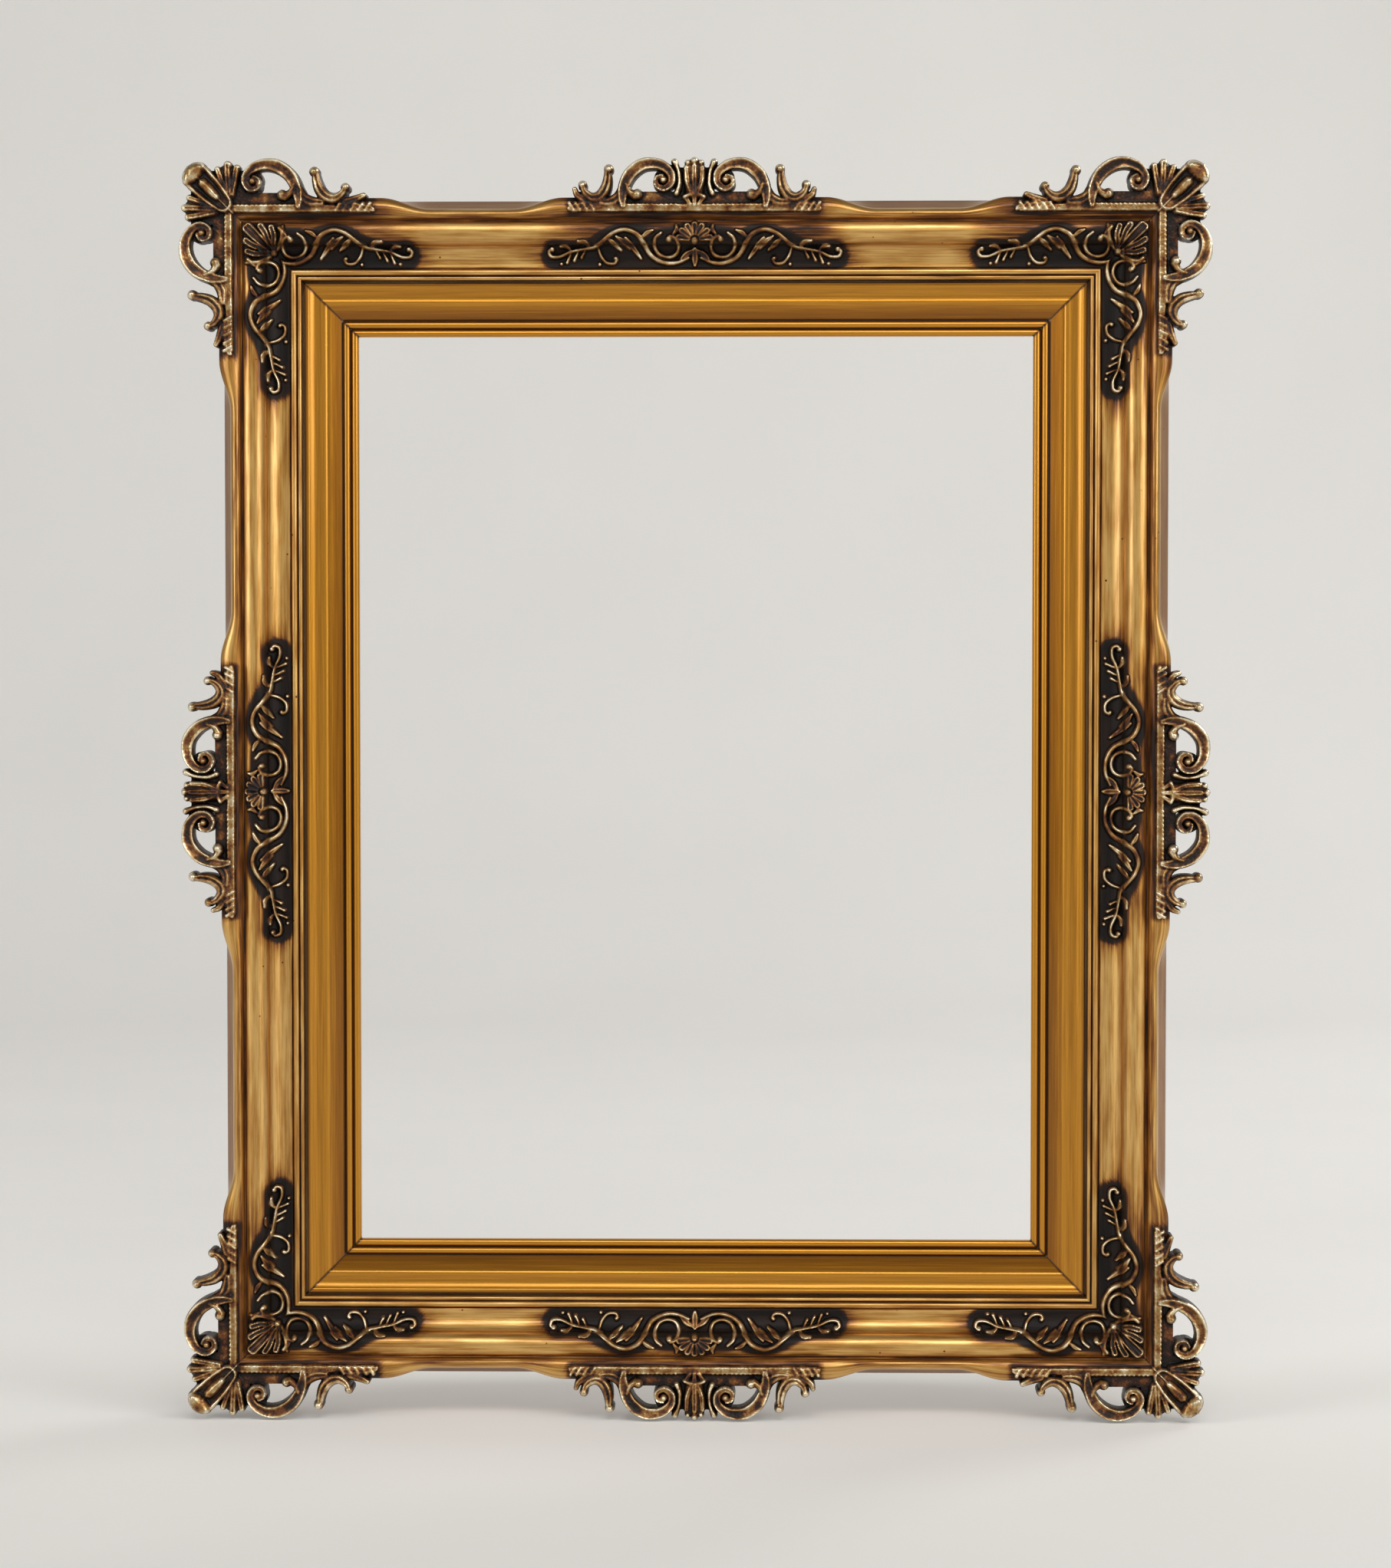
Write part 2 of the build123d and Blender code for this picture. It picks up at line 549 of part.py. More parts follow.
def crest_arm(origin, along, scroll, ball, lobes, end):
    """One arm of a crest: a pierced plate with a C-scroll, its eye, a ball, leaf lobes and a tail.

    Points are (along the moulding, outward) from the arm's inner end on the crest's inner edge.
    """
    tail_start = scroll + CREST_SCROLL_R
    eye = (scroll - CREST_SCROLL_R + CREST_EYE_R * 0.6, CREST_SCROLL_V + CREST_EYE_R * 0.5)
    with BuildPart() as arm:
        with BuildSketch(Plane((*origin, CREST_BACK), x_dir=along)):
            Rectangle(tail_start, CREST_BAND_W, align=(Align.MIN, Align.MIN))
            with BuildLine():
                bow = ((tail_start + end) / 2, CREST_BAND_W * 0.6)
                ThreePointArc((tail_start, CREST_BAND_W), bow, (end, CREST_TAIL_W))
                Polyline((end, CREST_TAIL_W), (end, 0), (tail_start, 0), (tail_start, CREST_BAND_W))
            make_face()
            with Locations((scroll, CREST_SCROLL_V)):
                Circle(CREST_SCROLL_R)
            with Locations(eye):
                Circle(CREST_EYE_R)
            for lobe in lobes:
                add(finger(*lobe))
            with Locations((scroll, CREST_SCROLL_V + CREST_SCROLL_W / 2)):
                SlotOverall(CREST_HOLE_L, CREST_HOLE_W, rotation=90, mode=Mode.SUBTRACT)
        extrude(amount=CREST_PLATE - CREST_BACK)
        with BuildSketch(Plane((*origin, CREST_PLATE), x_dir=along)):
            Rectangle(tail_start, CREST_STRIP_W, align=(Align.MIN, Align.MIN))
            with Locations((scroll, CREST_SCROLL_V)):
                Circle(CREST_SCROLL_R)
                Circle(CREST_SCROLL_R - CREST_SCROLL_W, mode=Mode.SUBTRACT)
            with Locations((scroll, CREST_SCROLL_V - CREST_SCROLL_R)):
                Rectangle(
                    2 * CREST_SCROLL_R, CREST_SCROLL_R / 2, align=(Align.CENTER, Align.MIN), mode=Mode.SUBTRACT
                )
            for base, base_r, tip, tip_r in lobes:
                add(finger(base, base_r * 0.7, tip, tip_r * 0.8))
        extrude(amount=CREST_RELIEF)
        with Locations(Plane((*origin, CREST_PLATE), x_dir=along)):
            with Locations((*eye, 0)):
                Sphere(CREST_EYE_R, arc_size1=0, align=DOME)
            with Locations((*ball, 0)):
                Sphere(CREST_BALL_R, arc_size1=0, align=DOME)
    return arm.part


# Centre crests: two arms, and a fluted cartouche between two husks
centre_arm = crest_arm(
    origin=(0, CREST_IN),
    along=(1, 0, 0),
    scroll=CENTRE_SCROLL_U,
    ball=(26.4, 9.6),
    lobes=[
        ((34.6, 6.0), 3.0, (36.6, 18.2), 1.5),
        ((42.5, 4.0), 2.4, (47.6, 11.4), 1.4),
        ((48.0, 2.6), 1.8, (51.4, 8.4), 1.1),
        ((7.6, 8.0), 1.5, (8.4, 20.4), 1.4),
    ],
    end=CENTRE_CREST_HALF,
)
centre_seat = straight_bed(GLUE_LINE)
with BuildPart() as centre_crest:
    add(centre_arm)
    mirror(about=Plane.YZ)
    with BuildSketch(Plane.XY.offset(CREST_BACK)):
        add(finger((0, CREST_IN + CARTOUCHE_R), CARTOUCHE_R, (0, CREST_IN + CARTOUCHE_V), CARTOUCHE_R))
    extrude(amount=CREST_PLATE + CREST_RELIEF - CREST_BACK)
    with BuildSketch(Plane.XY.offset(CREST_PLATE + CREST_RELIEF)):
        for x in (-CARTOUCHE_R * 0.6, 0, CARTOUCHE_R * 0.6):
            add(finger((x * 0.6, CREST_IN + CARTOUCHE_R), FLUTE_R, (x, CREST_IN + CARTOUCHE_V), FLUTE_R))
    extrude(amount=FLUTE_R)
    add(centre_seat, mode=Mode.SUBTRACT)
for side, member in MEMBERS.items():
    write(member.location * centre_crest.part, f"centre_crest_{side}")

# Corner crests: two arms round the corner, a husk on each, and a rolled boss on the diagonal
corner_arm = crest_arm(
    origin=(CREST_IN, CREST_IN),
    along=(0, -1, 0),
    scroll=CORNER_SCROLL_U,
    ball=(24.4, 9.8),
    lobes=[
        ((31.0, 6.0), 3.0, (34.2, 18.0), 1.5),
        ((42.0, 4.0), 2.6, (47.2, 10.6), 1.5),
        ((50.6, 2.8), 2.0, (56.0, 7.2), 1.2),
        ((-0.2, 8.0), 2.8, (-0.2, 18.8), 2.8),
    ],
    end=CORNER_CREST_ARM,
)
corner_seat = corner_bed(GLUE_LINE)
boss = CREST_IN + CORNER_BOSS_V
with BuildPart() as corner_crest:
    add(corner_arm)
    mirror(about=DIAGONAL)
    with BuildSketch(Plane.XY.offset(CREST_BACK)):
        with Locations((CREST_IN, CREST_IN)):
            Rectangle(CORNER_BLOCK, CORNER_BLOCK, align=(Align.MIN, Align.MIN))
        add(finger((CREST_IN, CREST_IN), CORNER_BOSS_R * 0.8, (boss, boss), CORNER_BOSS_R))
    extrude(amount=CREST_PLATE - CREST_BACK)
    with BuildSketch(Plane.XY.offset(CREST_PLATE)):
        add(finger((CREST_IN, CREST_IN), FLUTE_R, (boss, boss), CORNER_BOSS_R * 0.8))
    extrude(amount=CREST_RELIEF)
    with Locations((boss, boss, CREST_PLATE)):
        Sphere(CORNER_BOSS_R, arc_size1=0, align=DOME)
    add(corner_seat, mode=Mode.SUBTRACT)
for place, corner in CORNERS.items():
    write(corner.location * corner_crest.part, f"corner_crest_{place}")

# Sprays: vine relief that follows the hollow and the ovolo. Points are (along, outward from the arris).


def stroke(start, through, end, width):
    """A stem of even width with round ends, bent along an arc."""
    bend = Edge.make_three_point_arc(start, through, end)
    return SlotArc(bend, width, mode=Mode.PRIVATE)


def spray_web(plane):
    """The thin ground under one arm of a spray."""
    edge = ARRIS - HOLLOW_IN
    with BuildSketch(plane, mode=Mode.PRIVATE) as web:
        with BuildLine():
            Polyline((-1, OVOLO_W - 0.4), (-1, 0.4 - edge), (SPRAY_HALF - 4, 0.4 - edge))
            RadiusArc((SPRAY_HALF - 4, 0.4 - edge), (SPRAY_HALF - 2, -0.6), -7)
            Line((SPRAY_HALF - 2, -0.6), (42, 1.2))
            ThreePointArc((42, 1.2), (30.5, 7.8), (21, 2.6))
            ThreePointArc((21, 2.6), (14, 6.2), (6, 6.6))
            Polyline((6, 6.6), (1, OVOLO_W - 0.4), (-1, OVOLO_W - 0.4))
        make_face()
    return web.sketch


def spray_strokes(plane):
    """The raised vine of one arm: ring, stem, arch, tendril, hook, leaves and berries."""
    with BuildSketch(plane, mode=Mode.PRIVATE) as vine:
        with Locations((11.8, 0)):
            Circle(SPRAY_RING_R + SPRAY_STEM_W / 2)
            Circle(SPRAY_RING_R - SPRAY_STEM_W / 2, mode=Mode.SUBTRACT)
        add(stroke((3, -5.5), (14, -7), (21, -2), SPRAY_STEM_W))
        add(stroke((21, -2), (24.5, 4.5), (30, 6.4), SPRAY_STEM_W))
        add(stroke((30, 6.4), (36.5, 4), (41, -0.4), SPRAY_STEM_W))
        add(stroke((41, -0.4), (50, -1.7), (57.5, -4.6), SPRAY_STEM_W * 0.8))
        add(stroke((57.5, -4.6), (61.6, -4), (60.6, -1.4), SPRAY_STEM_W * 0.8))
        add(stroke((40.8, -1.5), (38.6, -7), (33.4, -6), SPRAY_STEM_W * 0.8))
        add(finger((35.6, 1.6), 0.8, (32.4, -0.8), 1.2))
        add(finger((28.6, -0.2), 0.9, (23.8, -4.2), 1.3))
        for berry in ((49.4, -4.6), (52.0, -6.0), (54.6, -7.2)):
            with Locations(berry):
                Circle(SPRAY_STEM_W * 0.55)
    return vine.sketch


def spray_heart(places):
    """Lobes where the two arms of a spray meet, as (foot, foot radius, tip, tip radius)."""
    with BuildSketch(mode=Mode.PRIVATE) as heart:
        for lobe in places:
            add(finger(*lobe))
    return heart.sketch


def spray(web, strokes, heart, mirror_plane, bed):
    """A casting of even thickness over the moulding: a web, and the vine standing on it."""
    low, ground, crown = bed(GLUE_LINE), bed(SPRAY_WEB_T), bed(SPRAY_RELIEF_T)
    with BuildPart() as sheet:
        extrude(web, amount=2 * CREST_PLATE)
        mirror(about=mirror_plane)
        add(ground, mode=Mode.INTERSECT)
    with BuildPart() as vine:
        extrude(strokes, amount=2 * CREST_PLATE)
        mirror(about=mirror_plane)
        extrude(heart, amount=2 * CREST_PLATE)
        add(crown, mode=Mode.INTERSECT)
    with BuildPart() as casting:
        add(sheet.part)
        add(vine.part)
        add(low, mode=Mode.SUBTRACT)
    return casting.part


run = Plane((0, ARRIS, 0), x_dir=(1, 0, 0))
heart = spray_heart(
    [
        ((0, ARRIS - 1.6), 1.6, (0, ARRIS - 6.4), 2.0),
        ((-1.2, ARRIS - 3), 1.0, (-4.2, ARRIS - 6.4), 1.4),
        ((1.2, ARRIS - 3), 1.0, (4.2, ARRIS - 6.4), 1.4),
        ((0, ARRIS + 2.6), 1.8, (0, ARRIS + 7.2), 1.4),
        ((-1.2, ARRIS + 3), 1.0, (-3.8, ARRIS + 6.8), 1.3),
        ((1.2, ARRIS + 3), 1.0, (3.8, ARRIS + 6.8), 1.3),
    ]
)
centre_spray = spray(spray_web(run), spray_strokes(run), heart, Plane.YZ, straight_bed)
for side, member in MEMBERS.items():
    write(member.location * centre_spray, f"centre_spray_{side}")

turn = Plane((ARRIS, ARRIS, 0), x_dir=(0, -1, 0))
heart = spray_heart(
    [
        ((ARRIS - 1, ARRIS - 1), 2.0, (ARRIS - 5, ARRIS - 5), 2.4),
        ((ARRIS - 1, ARRIS - 1), 1.8, (ARRIS + 7, ARRIS + 7), 1.8),
        ((ARRIS - 1, ARRIS), 1.4, (ARRIS - 1, ARRIS + 7.4), 1.5),
        ((ARRIS, ARRIS - 1), 1.4, (ARRIS + 7.4, ARRIS - 1), 1.5),
    ]
)
corner_spray = spray(spray_web(turn), spray_strokes(turn), heart, DIAGONAL, corner_bed)
for place, corner in CORNERS.items():
    write(corner.location * corner_spray, f"corner_spray_{place}")
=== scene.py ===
import math

import bmesh
import bpy
import numpy as np
from mathutils import Matrix, Vector


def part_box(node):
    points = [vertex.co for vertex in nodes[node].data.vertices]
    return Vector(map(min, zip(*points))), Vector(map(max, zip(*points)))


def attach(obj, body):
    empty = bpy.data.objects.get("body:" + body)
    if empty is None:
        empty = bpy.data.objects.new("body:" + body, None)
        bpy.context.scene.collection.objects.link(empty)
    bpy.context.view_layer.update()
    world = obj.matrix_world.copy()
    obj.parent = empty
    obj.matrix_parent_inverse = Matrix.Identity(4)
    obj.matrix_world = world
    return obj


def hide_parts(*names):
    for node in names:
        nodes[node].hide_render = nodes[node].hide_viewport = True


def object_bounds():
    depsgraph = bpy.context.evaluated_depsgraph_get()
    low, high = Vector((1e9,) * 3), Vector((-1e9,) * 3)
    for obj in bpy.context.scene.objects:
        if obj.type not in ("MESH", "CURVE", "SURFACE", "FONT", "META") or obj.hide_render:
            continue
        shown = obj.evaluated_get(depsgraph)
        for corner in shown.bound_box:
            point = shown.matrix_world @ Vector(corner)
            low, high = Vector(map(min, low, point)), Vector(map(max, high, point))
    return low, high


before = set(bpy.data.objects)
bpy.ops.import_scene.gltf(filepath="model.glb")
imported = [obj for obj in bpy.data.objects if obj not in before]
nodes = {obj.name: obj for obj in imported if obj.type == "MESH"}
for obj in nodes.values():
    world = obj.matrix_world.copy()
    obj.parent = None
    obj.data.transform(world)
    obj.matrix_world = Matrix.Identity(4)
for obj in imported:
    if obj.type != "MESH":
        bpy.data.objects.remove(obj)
cad_low, cad_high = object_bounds()

# Moulding rails
# Four lengths of softwood planed to a swept section, gessoed, leafed in gold-coloured metal and mitred.
# The lip is scooped away in a bay on each side of the middle, and the back is left as bare wood.

MM = 0.001
left_edge, right_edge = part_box("slip_left")[1].x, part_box("slip_right")[0].x
bottom_edge, top_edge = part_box("slip_bottom")[1].z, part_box("slip_top")[0].z
middle_z = (bottom_edge + top_edge) / 2
sight_width = (right_edge - left_edge) / MM
sight_height = (top_edge - bottom_edge) / MM
FRONT = Vector((0, -1, 0))


def seat(x, z, along):
    """A member's own frame: x along it, y outward from the opening, z to the front, all in millimetres."""
    along = Vector(along)
    axes = Matrix((along, FRONT.cross(along), FRONT)).transposed().to_4x4()
    return Matrix.Translation((x, 0, z)) @ axes @ Matrix.Scale(MM, 4)


RIGHT, UP, LEFT, DOWN = (1, 0, 0), (0, 0, 1), (-1, 0, 0), (0, 0, -1)
MEMBERS = {
    "top": (seat(0, top_edge, RIGHT), sight_width),
    "left": (seat(left_edge, middle_z, UP), sight_height),
    "bottom": (seat(0, bottom_edge, LEFT), sight_width),
    "right": (seat(right_edge, middle_z, DOWN), sight_height),
}
CORNERS = {
    "top_right": seat(right_edge, top_edge, RIGHT),
    "top_left": seat(left_edge, top_edge, UP),
    "bottom_left": seat(left_edge, bottom_edge, LEFT),
    "bottom_right": seat(right_edge, bottom_edge, DOWN),
}

# Places across the moulding in millimetres, outward from the sight edge
MOULD_IN, MOULD_WALL, BASE_OUT = 23.6, 30.0, 58.2
BEAD_SPLIT, SPLIT_WIDTH, BEAD_OUT = 25.1, 0.5, 28.2
HOLLOW_IN, ARRIS, OVOLO_OUT = 28.8, 38.0, 47.5
LIP_IN, LIP_OUT, CROWN_SHARE = 48.4, 58.0, 0.4

# Heights from its back
MOULD_UNDER, BEAD_FOOT, BEAD_BACK = 18.5, 23.5, 24.3
NARROW_BEAD_END, WIDE_BEAD_FOOT = 24.1, 23.7
HOLLOW_END, HOLLOW_SAG = 27.9, 1.6
OVOLO_FOOT, OVOLO_END = 29.1, 32.9
LIP_FOOT, LIP_CROWN, LIP_EDGE, BASE_H = 32.0, 34.6, 31.6, 13.0

# The bays: the lip is full beside the crests, and drawn in to a line between them
CREST_IN, CENTRE_HALF, CORNER_ARM = 51.2, 54.0, 60.5
SCOOP_LINE, SCOOP_H, SCOOP_RUN, SCOOP_MARGIN, LIP_MARGIN = 53.3, 23.0, 21.0, 2.0, 0.2

# How gesso rounds the corners that turn sharply, up to a share of the sides that meet there
GESSO_ROUND, SHARP_TURN, CUT_SHARE = 0.5, math.radians(25), 0.45

# Spacing along a member, closer beside its mitres, and the width of the dark line at a mitre
STATION = 1.6
NEAR_MITRE = np.array([0.25, 0.6, 1.4, 3.0])
JOINT_WIDTH = 0.4
CRISP_ANGLE = 40


def arc(start, through, end, steps):
    """Points of the round arc through three points, without its start."""
    (ax, ay), (bx, by), (cx, cy) = start, through, end
    turn = 2 * (ax * (by - cy) + bx * (cy - ay) + cx * (ay - by))
    a2, b2, c2 = ax * ax + ay * ay, bx * bx + by * by, cx * cx + cy * cy
    ox = (a2 * (by - cy) + b2 * (cy - ay) + c2 * (ay - by)) / turn
    oy = (a2 * (cx - bx) + b2 * (ax - cx) + c2 * (bx - ax)) / turn
    first = math.atan2(ay - oy, ax - ox)
    sweep = math.atan2(cy - oy, cx - ox) - first
    middle = (math.atan2(by - oy, bx - ox) - first) % math.tau
    sweep = sweep % math.tau
    if middle > sweep:
        sweep -= math.tau
    radius = math.hypot(ax - ox, ay - oy)
    angles = [first + sweep * step / steps for step in range(1, steps + 1)]
    return [(ox + radius * math.cos(angle), oy + radius * math.sin(angle)) for angle in angles]


def round_up(start, end, steps):
    """A bead or ovolo: the arc that leaves its start straight towards the front."""
    run, rise = end[0] - start[0], end[1] - start[1]
    radius = (run * run + rise * rise) / (2 * run)
    through = (start[0] + radius * (1 - math.sqrt(0.5)), start[1] + radius * math.sqrt(0.5))
    return arc(start, through, end, steps)


def straight(start, end, longest):
    """Evenly spaced points of a straight stretch, without its start."""
    steps = max(1, math.ceil(math.dist(start, end) / longest))
    return [
        tuple(a + (b - a) * step / steps for a, b in zip(start, end)) for step in range(1, steps + 1)
    ]


def soften(points, radius):
    """Rounds the sharp corners of a closed outline a little, as gesso and leaf do."""
    made = []
    count = len(points)
    for index in range(count):
        before, here, after = (np.array(points[(index + step) % count]) for step in (-1, 0, 1))
        back, ahead = before - here, after - here
        back_run, ahead_run = np.linalg.norm(back), np.linalg.norm(ahead)
        turn = math.acos(max(-1, min(1, -back @ ahead / back_run / ahead_run)))
        if turn < SHARP_TURN:
            made.append(here)
            continue
        cut = min(radius, CUT_SHARE * back_run, CUT_SHARE * ahead_run)
        first, last = here + back / back_run * cut, here + ahead / ahead_run * cut
        for share in (0, 1 / 3, 2 / 3, 1):
            made.append((1 - share) ** 2 * first + 2 * share * (1 - share) * here + share**2 * last)
    return np.array(made)


def rail_outline():
    """The moulding's closed outline, from its back wall round the face to the base."""
    points = [(MOULD_WALL, 0.0)]
    points += straight(points[-1], (MOULD_WALL, MOULD_UNDER), longest=9)
    points += straight(points[-1], (MOULD_IN, MOULD_UNDER), longest=4)
    points += straight(points[-1], (MOULD_IN, BEAD_FOOT), longest=2.5)
    points += round_up(points[-1], (BEAD_SPLIT, NARROW_BEAD_END), steps=8)
    points += [(BEAD_SPLIT, BEAD_FOOT), (BEAD_SPLIT + SPLIT_WIDTH, WIDE_BEAD_FOOT)]
    points += round_up(points[-1], (BEAD_OUT, BEAD_BACK), steps=12)
    points += [(BEAD_OUT, BEAD_FOOT), (HOLLOW_IN, BEAD_BACK)]
    sag = ((HOLLOW_IN + ARRIS) / 2, (BEAD_BACK + HOLLOW_END) / 2 - HOLLOW_SAG)
    points += arc(points[-1], sag, (ARRIS, HOLLOW_END), steps=10)
    points += [(ARRIS, OVOLO_FOOT)]
    points += round_up(points[-1], (OVOLO_OUT, OVOLO_END), steps=16)
    points += [(OVOLO_OUT, LIP_FOOT), (LIP_IN, LIP_FOOT)]
    crown = (LIP_IN + CROWN_SHARE * (LIP_OUT - LIP_IN), LIP_CROWN)
    points += arc(points[-1], crown, (LIP_OUT, LIP_EDGE), steps=10)
    points += straight(points[-1], (BASE_OUT, BASE_H), longest=1.2)
    points += straight(points[-1], (BASE_OUT, 0.0), longest=7)
    points += straight(points[-1], (MOULD_WALL, 0.0), longest=8)[:-1]
    return soften(points, GESSO_ROUND)


def smooth(low, high, value):
    """0 below low, 1 above high, and an S curve between."""
    share = np.clip((value - low) / (high - low), 0, 1)
    return share * share * (3 - 2 * share)


def scooped(along, out, height, span):
    """Draws the lip in and steepens the side below it inside the bays."""
    start, end = CENTRE_HALF + SCOOP_MARGIN, span / 2 + CREST_IN - CORNER_ARM - SCOOP_MARGIN
    middle = np.abs(along)
    share = smooth(start, start + SCOOP_RUN, middle) * (1 - smooth(end - SCOOP_RUN, end, middle))
    lip = LIP_IN + (out - LIP_IN) * (SCOOP_LINE - LIP_IN) / (LIP_OUT - LIP_IN)
    drop = np.clip((SCOOP_H - height) / (SCOOP_H - BASE_H), 0, 1)
    wall = SCOOP_LINE + (BASE_OUT - SCOOP_LINE) * drop
    target = np.where(out > LIP_OUT - LIP_MARGIN, wall, np.minimum(lip, wall))
    moved = (out > LIP_IN) & (height > BASE_H)
    return np.where(moved, out + (target - out) * share, out)


def brushed_line(distance, width):
    """1 along a thin line, falling softly to 0 on both sides of it."""
    return np.exp(-((distance / width) ** 2))


def closed_run(name, outline, span, station, shape=None):
    """A mitred length of an outline, with each point's place along and round it kept for the finish."""
    half_length = span / 2 + outline[:, 0]
    shares = np.linspace(-1, 1, max(2, int((span + 2 * BASE_OUT) / station)))
    near_mitre = 1 - NEAR_MITRE / (span / 2 + BASE_OUT)
    shares = np.unique(np.concatenate([shares, near_mitre, -near_mitre]))
    along = shares[:, None] * half_length[None]
    out = np.broadcast_to(outline[:, 0], along.shape)
    height = np.broadcast_to(outline[:, 1], along.shape)
    if shape:
        out = shape(along, out, height, span)
    rows, columns = along.shape
    index = np.arange(rows * columns).reshape(rows, columns)
    ring = np.roll(index, -1, axis=1)
    quads = np.stack([index[:-1], ring[:-1], ring[1:], index[1:]], axis=-1).reshape(-1, 4)
    ends = [list(map(int, index[0])), list(map(int, index[-1][::-1]))]
    mesh = bpy.data.meshes.new(name)
    mesh.from_pydata(np.stack([along, out, height], axis=-1).reshape(-1, 3), [], quads.tolist() + ends)
    girth = np.concatenate([[0], np.cumsum(np.linalg.norm(np.diff(outline, axis=0), axis=1))])
    store(mesh, "along", along)
    store(mesh, "out", out)
    store(mesh, "height", height)
    store(mesh, "girth", np.broadcast_to(girth, along.shape))
    store(mesh, "joint", brushed_line(half_length[None] - np.abs(along), JOINT_WIDTH))
    return mesh


def store(mesh, name, values):
    """Keeps one number for each point of a mesh."""
    kept = mesh.attributes.get(name) or mesh.attributes.new(name, "FLOAT", "POINT")
    kept.data.foreach_set("value", np.ascontiguousarray(values, np.float32).ravel())


def place(mesh, name, matrix, smooth_angle):
    """Turns a mesh from its member's frame to the whole frame's, and shows it as a piece."""
    mesh.transform(matrix)
    turned = bmesh.new()
    turned.from_mesh(mesh)
    bmesh.ops.recalc_face_normals(turned, faces=turned.faces)
    turned.to_mesh(mesh)
    turned.free()
    mesh.shade_smooth()
    mesh.set_sharp_from_angle(angle=math.radians(smooth_angle))
    piece = bpy.data.objects.new(name, mesh)
    bpy.context.scene.collection.objects.link(piece)
    return piece


def srgb(code):
    """Linear colour of an sRGB hex value."""
    parts = [int(code[i : i + 2], 16) / 255 for i in (1, 3, 5)]
    return tuple(p / 12.92 if p <= 0.04045 else ((p + 0.055) / 1.055) ** 2.4 for p in parts) + (1.0,)


def feed(tree, shader, inputs):
    """Sets a shader's inputs, or links them to what other nodes give."""
    for key, value in inputs.items():
        if isinstance(value, bpy.types.NodeSocket):
            tree.links.new(value, shader.inputs[key])
        else:
            shader.inputs[key].default_value = value


def node(tree, kind, inputs=None, stops=None, out=0, **settings):
    """Adds a node with its properties, inputs and ramp stops, and gives one of its outputs."""
    made = tree.nodes.new(kind)
    for name, value in settings.items():
        setattr(made, name, value)
    feed(tree, made, inputs or {})
    if stops:
        ramp = made.color_ramp.elements
        while len(ramp) < len(stops):
            ramp.new(0.5)
        for element, (position, colour) in zip(ramp, stops):
            element.position = position
            element.color = srgb(colour)
    return made.outputs[out]


def new_material(name):
    """An empty material and its surface shader."""
    made = bpy.data.materials.new(name)
    made.use_nodes = True
    return made, made.node_tree, made.node_tree.nodes["Principled BSDF"]


MEMBER_SHIFT = (9, 9, 9)


def strand(tree, along_mm, across_mm):
    """A place on a member, counted in streaks of a length and a width, and shifted from member to member."""
    along = node(tree, "ShaderNodeAttribute", out="Fac", attribute_name="along")
    girth = node(tree, "ShaderNodeAttribute", out="Fac", attribute_name="girth")
    x = node(tree, "ShaderNodeMath", {0: along, 1: along_mm}, operation="DIVIDE")
    y = node(tree, "ShaderNodeMath", {0: girth, 1: across_mm}, operation="DIVIDE")
    where = node(tree, "ShaderNodeTexCoord", out="Object")
    z = node(tree, "ShaderNodeVectorMath", {0: where, 1: MEMBER_SHIFT}, out="Value", operation="DOT_PRODUCT")
    return node(tree, "ShaderNodeCombineXYZ", {0: x, 1: y, 2: z})


